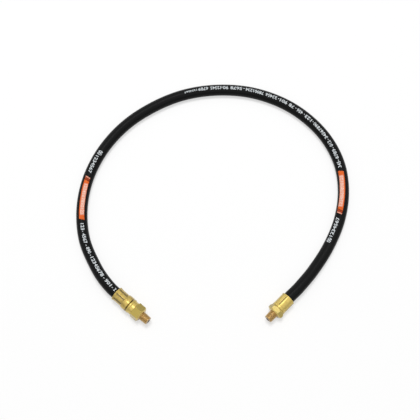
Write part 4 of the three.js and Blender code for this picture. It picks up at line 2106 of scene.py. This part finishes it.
@dataclass(frozen=True)
class Studio:
    """The white floor, the soft lamp, the room and the camera.

    Attributes:
        lamp: The lamp.
        floor_size: Width of the floor.
        floor_level: Height of the floor.
        glow: Share of plain white in the floor as the camera sees it.
        mirrored_glow: That share as metal mirrors it.
        paper: The floor's darker and lighter colour.
        fibre: The paper's fibres.
        side_light: Light that the room gives from the sides.
        top_light: Light that it gives from above.
        front_wall: Brightness of the mirrored wall in front.
        back_wall: Brightness of that behind.
        ceiling: Brightness of the mirrored ceiling and window.
        lamp_glint: Brightness of the mirrored lamp.
        lamp_way: Way to the mirrored lamp.
        aim: The point that the camera faces.
        elevation_deg: The camera's angle above the floor.
        distance: The camera's distance.
        lens: Its focal length, in millimetres.
    """

    lamp: Lamp = Lamp("overhead", at=(-0.10, 0.76, 3.40), size=(1.10, 1.10), power=80.0)
    floor_size: float = 6.0
    floor_level: float = -0.00003
    glow: float = 0.60
    mirrored_glow: float = 0.15
    paper: tuple[float, float] = (0.93, 0.96)
    fibre: Grain = Grain(900.0, 3.0)
    side_light: float = 0.12
    top_light: float = 0.65
    front_wall: float = 0.80
    back_wall: float = 0.95
    ceiling: float = 1.5
    lamp_glint: float = 4.6
    lamp_way: tuple[float, float, float] = (-0.03, 0.20, 0.979)
    aim: tuple[float, float, float] = (0.00776, 0.11298, 0.00635)
    elevation_deg: float = 71.0
    distance: float = 1.0656
    lens: float = 80.0

    def camera(self) -> None:
        """Sets the camera at the photograph's angle."""
        data = bpy.data.cameras.new("camera")
        data.lens = self.lens
        data.sensor_width = 36.0
        data.clip_start, data.clip_end = 0.05, 50.0
        camera = bpy.data.objects.new("camera", data)
        tilt = math.radians(90 - self.elevation_deg)
        camera.location = Vector(self.aim) + Vector((0.0, -math.sin(tilt), math.cos(tilt))) * self.distance
        camera.rotation_euler = (tilt, 0.0, 0.0)
        bpy.context.collection.objects.link(camera)
        bpy.context.scene.camera = camera

    def floor(self) -> None:
        """Lays the white floor, which still takes the object's shadow."""
        shape = bmesh.new()
        bmesh.ops.create_grid(shape, x_segments=8, y_segments=8, size=self.floor_size / 2)
        bmesh.ops.translate(shape, verts=shape.verts, vec=(0.0, 0.0, self.floor_level))
        mesh = bpy.data.meshes.new("floor")
        shape.to_mesh(mesh)
        shape.free()
        floor = bpy.data.objects.new("floor", mesh)
        bpy.context.collection.objects.link(floor)
        mesh.materials.append(self._paper())

    def _paper(self) -> bpy.types.Material:
        """Builds the floor's paper, which the camera sees partly as plain white.

        Returns:
            The material.
        """
        bench = MaterialBench("floor_paper")
        fibre = bench.noise(bench.place(), self.fibre)
        white = bench.mix(bench.between(fibre, *NOISE_MIDDLE), *(grey(level) for level in self.paper))
        paper = bench.add("BsdfDiffuse", {"Color": white})
        glow = bench.add("Emission", {"Color": (1.0, 1.0, 1.0, 1.0), "Strength": 1.0})
        ray = bench.add("LightPath")
        seen = bench.math("MAXIMUM", ray.outputs["Is Camera Ray"], ray.outputs["Is Transmission Ray"])
        mirrored = bench.math("MULTIPLY", ray.outputs["Is Glossy Ray"], self.mirrored_glow)
        share = bench.math("MAXIMUM", bench.math("MULTIPLY", seen, self.glow), mirrored)
        bench.finish(bench.add("MixShader", {0: share, 1: paper.outputs[0], 2: glow.outputs[0]}))
        return bench.material

    def room(self) -> None:
        """Surrounds the object with a pale room, which the camera sees as plain white."""
        world = bpy.data.worlds.new("room")
        world.use_nodes = True
        bench = NodeBench(world.node_tree, "OutputWorld")
        place = bench.add("TexCoord").outputs["Generated"]
        way = bench.add("SeparateXYZ", {"Vector": place})
        light = bench.mix(
            bench.between(way.outputs["Z"], 0.3, 1.0), grey(self.side_light), grey(self.top_light)
        )
        ray = bench.add("LightPath")
        tone = bench.mix(ray.outputs["Is Glossy Ray"], light, self._mirrored_room(bench, place, way))
        seen = bench.math("MAXIMUM", ray.outputs["Is Camera Ray"], ray.outputs["Is Transmission Ray"])
        colour = bench.mix(seen, tone, grey(1.0))
        bench.finish(bench.add("Background", {"Color": colour, "Strength": 1.0}))
        bpy.context.scene.world = world

    def _mirrored_room(self, bench: NodeBench, place: Socket, way: bpy.types.Node) -> Socket:
        """Paints the room that metal mirrors: walls, ceiling, a window at the back left, and the lamp.

        Args:
            bench: The world's bench.
            place: The way looked in.
            way: That way, as separate numbers.

        Returns:
            The room's brightness.
        """
        right, behind, up = (way.outputs[axis] for axis in ("X", "Y", "Z"))
        walls = bench.mix(bench.between(behind, -0.6, 0.5), grey(self.front_wall), grey(self.back_wall))
        tent = bench.mix(bench.between(up, 0.2, 1.0), walls, grey(self.ceiling))
        window = bench.math("MULTIPLY", bench.between(behind, 0.45, 0.85), bench.between(right, -0.15, -0.5))
        tent = bench.mix(window, tent, grey(self.ceiling))
        nearness = bench.add("VectorMath", {0: place, 1: self.lamp_way}, operation="DOT_PRODUCT")
        glint = bench.between(nearness.outputs["Value"], 0.974, 0.996)
        return bench.mix(glint, tent, grey(self.lamp_glint))

    def build(self) -> None:
        """Builds the whole studio."""
        self.camera()
        self.floor()
        self.room()
        self.lamp.build()
        bpy.context.scene.view_settings.view_transform = "Standard"


# The whole assembly

SWIVEL_PLACE = FittingPlace((-0.09524, 0.01428, 0.010002), -41.1)
RIGID_PLACE = FittingPlace((0.09416, 0.00899, 0.0091), -134.3)

SWIVEL_FERRULE = CrimpedFerrule(
    "ferrule_of_swivel_end", mouth_run=0.8, ease_in=3.2, crimp_run=8.6, ease_out=2.6, collar_run=4.4,
    mouth=8.4, crimp=8.0, collar=8.6, ridge=-0.55, flatness=0.60, turn_deg=8.0, ridge_width=0.70,
    edge=0.8, groove_shade_reach=1.9,
)
RIGID_FERRULE = CrimpedFerrule(
    "ferrule_of_rigid_end", mouth_run=0.9, ease_in=0.7, crimp_run=11.9, ease_out=0.8, collar_run=2.2,
    mouth=8.4, crimp=8.2, collar=8.25, ridge=-0.40, flatness=0.04, turn_deg=13.7, ridge_width=0.50,
    edge=0.9, dies=4, groove_shade_reach=0.8,
)

# Lengths of the hose in each ferrule, and of the straight hose before each, in millimetres
SWIVEL_GRIP = 15.4
RIGID_GRIP = 12.4
HOSE_LEAD = 5.0

# How many steps of the centreline lie between the points of the gathered path
PATH_STEPS = 4

# Points on the centreline in millimetres, and the share of the fitting's height that each is raised by
SWIVEL_SIDE = [
    (-104.4, 23.2, 0.97), (-112.0, 32.8, 0.8), (-119.7, 45.3, 0.36), (-133.9, 77.3, 0.03),
    (-138.4, 114.3, 0), (-132.9, 151.3, 0), (-116.9, 187.3, 0), (-91.9, 218.3, 0),
    (-59.9, 241.8, 0), (-23.9, 257.8, 0),
]
RIGID_SIDE = [
    (15.6, 264.3, 0), (55.6, 261.3, 0), (93.1, 247.8, 0), (121.6, 227.8, 0), (144.1, 201.3, 0),
    (158.1, 169.3, 0), (161.1, 134.8, 0), (154.9, 100.8, 0), (140.6, 68.3, 0.03),
    (122.6, 40.8, 0.36), (111.9, 27.6, 0.8), (103.9, 18.6, 0.97),
]

INKS = {
    "white": PrintInk("print_white", (0.66, 0.70, 0.72), (0.22, 0.24, 0.25)),
    "orange": PrintInk("print_orange", (0.74, 0.135, 0.025), (0.52, 0.085, 0.015)),
    "salmon": PrintInk("print_salmon", (0.84, 0.36, 0.25), (0.74, 0.24, 0.13)),
    "pale": PrintInk("print_pale", (0.88, 0.62, 0.52), (0.84, 0.42, 0.30)),
    "red": PrintInk("print_red", (0.42, 0.055, 0.012), (0.2, 0.03, 0.01)),
}

# How far each plain group stands above the cover, and how much its strokes are thickened
PRINT_LIFT = 0.03
PRINT_BOLD = 0.03

# A tick: half its length, its height, and how far it sits below the line's middle
TICK_HALF = 0.7
TICK_HEIGHT = 0.9
TICK_DROP = 0.5

# Places along the hose, and the angle of the print line from the top there, in degrees
PRINT_TILTS = (
    (15.0, -12.6), (40.0, -10.5), (60.0, -7.4), (80.0, -5.5), (94.0, -6.7), (110.0, -5.0),
    (125.0, -5.2), (140.0, -6.3), (160.0, -5.2), (190.0, 0.1), (240.0, 0.6), (330.0, -1.0),
    (350.0, 2.0), (400.0, 1.2), (425.0, -1.8), (445.0, -2.1), (470.0, -7.8), (500.0, -8.3),
    (530.0, -13.1), (557.0, -17.1), (575.0, -18.2), (600.0, -20.9), (628.0, -22.8), (650.0, -26.5),
)

PANELS = (
    Panel("panel_near_rigid_end", start=613.1, end=559.9, half_width=3.25),
    Panel("panel_near_swivel_end", start=165.7, end=113.0, half_width=3.05),
)


def hose_route() -> Route:
    """Draws the hose's centreline through the fittings and the loop.

    Returns:
        The centreline.
    """
    radius = HOSE_RADIUS * MM

    def ends(place: FittingPlace, grip: float) -> list[Vector]:
        """Gives the points on a fitting's axis, from the hose's cut end to its lead."""
        return [place.point(along) for along in (grip, grip / 2, 0.0, -HOSE_LEAD)]

    def laid(rows: Sequence[tuple[float, float, float]], place: FittingPlace) -> list[Vector]:
        """Raises the loop's points from the floor."""
        height = place.mouth[2] - radius
        return [Vector((x * MM, y * MM, radius + share * height)) for x, y, share in rows]

    points = ends(SWIVEL_PLACE, SWIVEL_GRIP)
    points += laid(SWIVEL_SIDE, SWIVEL_PLACE)
    points += laid(RIGID_SIDE, RIGID_PLACE)
    points += ends(RIGID_PLACE, RIGID_GRIP)[::-1]
    return Route(points)


def print_tilt(along: float | np.ndarray) -> float | np.ndarray:
    """Gives the angle of the print line from the top, in degrees.

    The print winds slowly round the hose: it lies to the loop's inside at both ends of the hose and
    to its outside over the top of the loop.

    Args:
        along: Places along the hose.

    Returns:
        The angle at each.
    """
    return np.interp(along, *zip(*PRINT_TILTS))


def number_line() -> list[NumberGroup]:
    """Gives the small printed groups, which count on from one to the next, and the ticks between.

    Returns:
        The groups.
    """
    runs = (
        (3, 108.3, 100.1), (4, 96.1, 83.5), (3, 78.7, 70.7), (8, 65.9, 38.9),
        (3, 34.1, 24.6), (1, 19.5, 17.3), (3, 555.6, 547.6), (4, 544.1, 531.4),
        (3, 527.4, 519.4), (8, 515.7, 491.4), (3, 487.4, 477.6), (3, 473.4, 465.2),
        (2, 460.8, 453.8), (3, 451.4, 441.6), (5, 437.6, 423.1), (8, 420.7, 398.7),
        (4, 394.4, 380.5), (2, 378.1, 371.5), (5, 369.4, 356.7), (4, 354.0, 342.3),
    )
    ticks = (98.4, 81.2, 68.2, 36.5, 22.2, 546.4, 529.8, 517.9, 489.5, 475.8, 463.2, 439.6, 396.6, 370.5)
    line = []
    count = 1
    for places, start, end in runs:
        digits = "".join(str((count + k) % 10) for k in range(places))
        count += places
        line.append(NumberGroup(digits, start, end))
    line += [NumberGroup("-", at + TICK_HALF, at - TICK_HALF, TICK_HEIGHT, TICK_DROP) for at in ticks]
    line.append(NumberGroup("1234567", 340.7, 325.0, 2.3))
    return line


def large_numbers() -> list[NumberGroup]:
    """Gives the larger printed groups beside the panels.

    Returns:
        The groups.
    """
    rows = [
        ("00", 650.4, 644.7, 5.0, 0.4),
        ("1234567", 642.9, 617.7, 4.2, 0.0),
        ("00", 200.7, 195.1, 5.6, -0.8),
        ("1234567", 193.3, 170.4, 4.2, 0.0),
    ]
    return [NumberGroup(*row) for row in rows]


def declare_hose(route: Route) -> None:
    """Gathers the points of the path that the hose follows, and does nothing more with them.

    Args:
        route: Its centreline.
    """
    path = [tuple(float(v) for v in centre) for centre in route.centres[::PATH_STEPS]]
    path.append(tuple(float(v) for v in route.centres[-1]))


def main() -> None:
    """Builds the studio, the hose, its print and the two fittings."""
    logging.basicConfig(level=logging.INFO, format="%(name)s: %(message)s")
    Studio().build()
    route = hose_route()
    LOG.info("hose centreline %.1f mm", route.length)
    hose = Hose(route, SWIVEL_GRIP, RIGID_GRIP)
    cover, *inside = hose.build()
    inks = {name: ink.material() for name, ink in INKS.items()}
    bench = HosePrint(hose)
    marks = []
    for name, groups in (("print_numbers", number_line()), ("print_large_numbers", large_numbers())):
        piece = bench.digits(name, groups, PRINT_LIFT, PRINT_BOLD)
        marks.append(dress(piece, inks["white"], Body.HOSE, Slot.COVER))
    for panel in PANELS:
        marks += panel.build(bench, inks)
    declare_hose(route)
    SwivelEnd(SWIVEL_PLACE, SWIVEL_FERRULE).build()
    RigidEnd(RIGID_PLACE, RIGID_FERRULE).build()


if __name__ == "__main__":
    main()
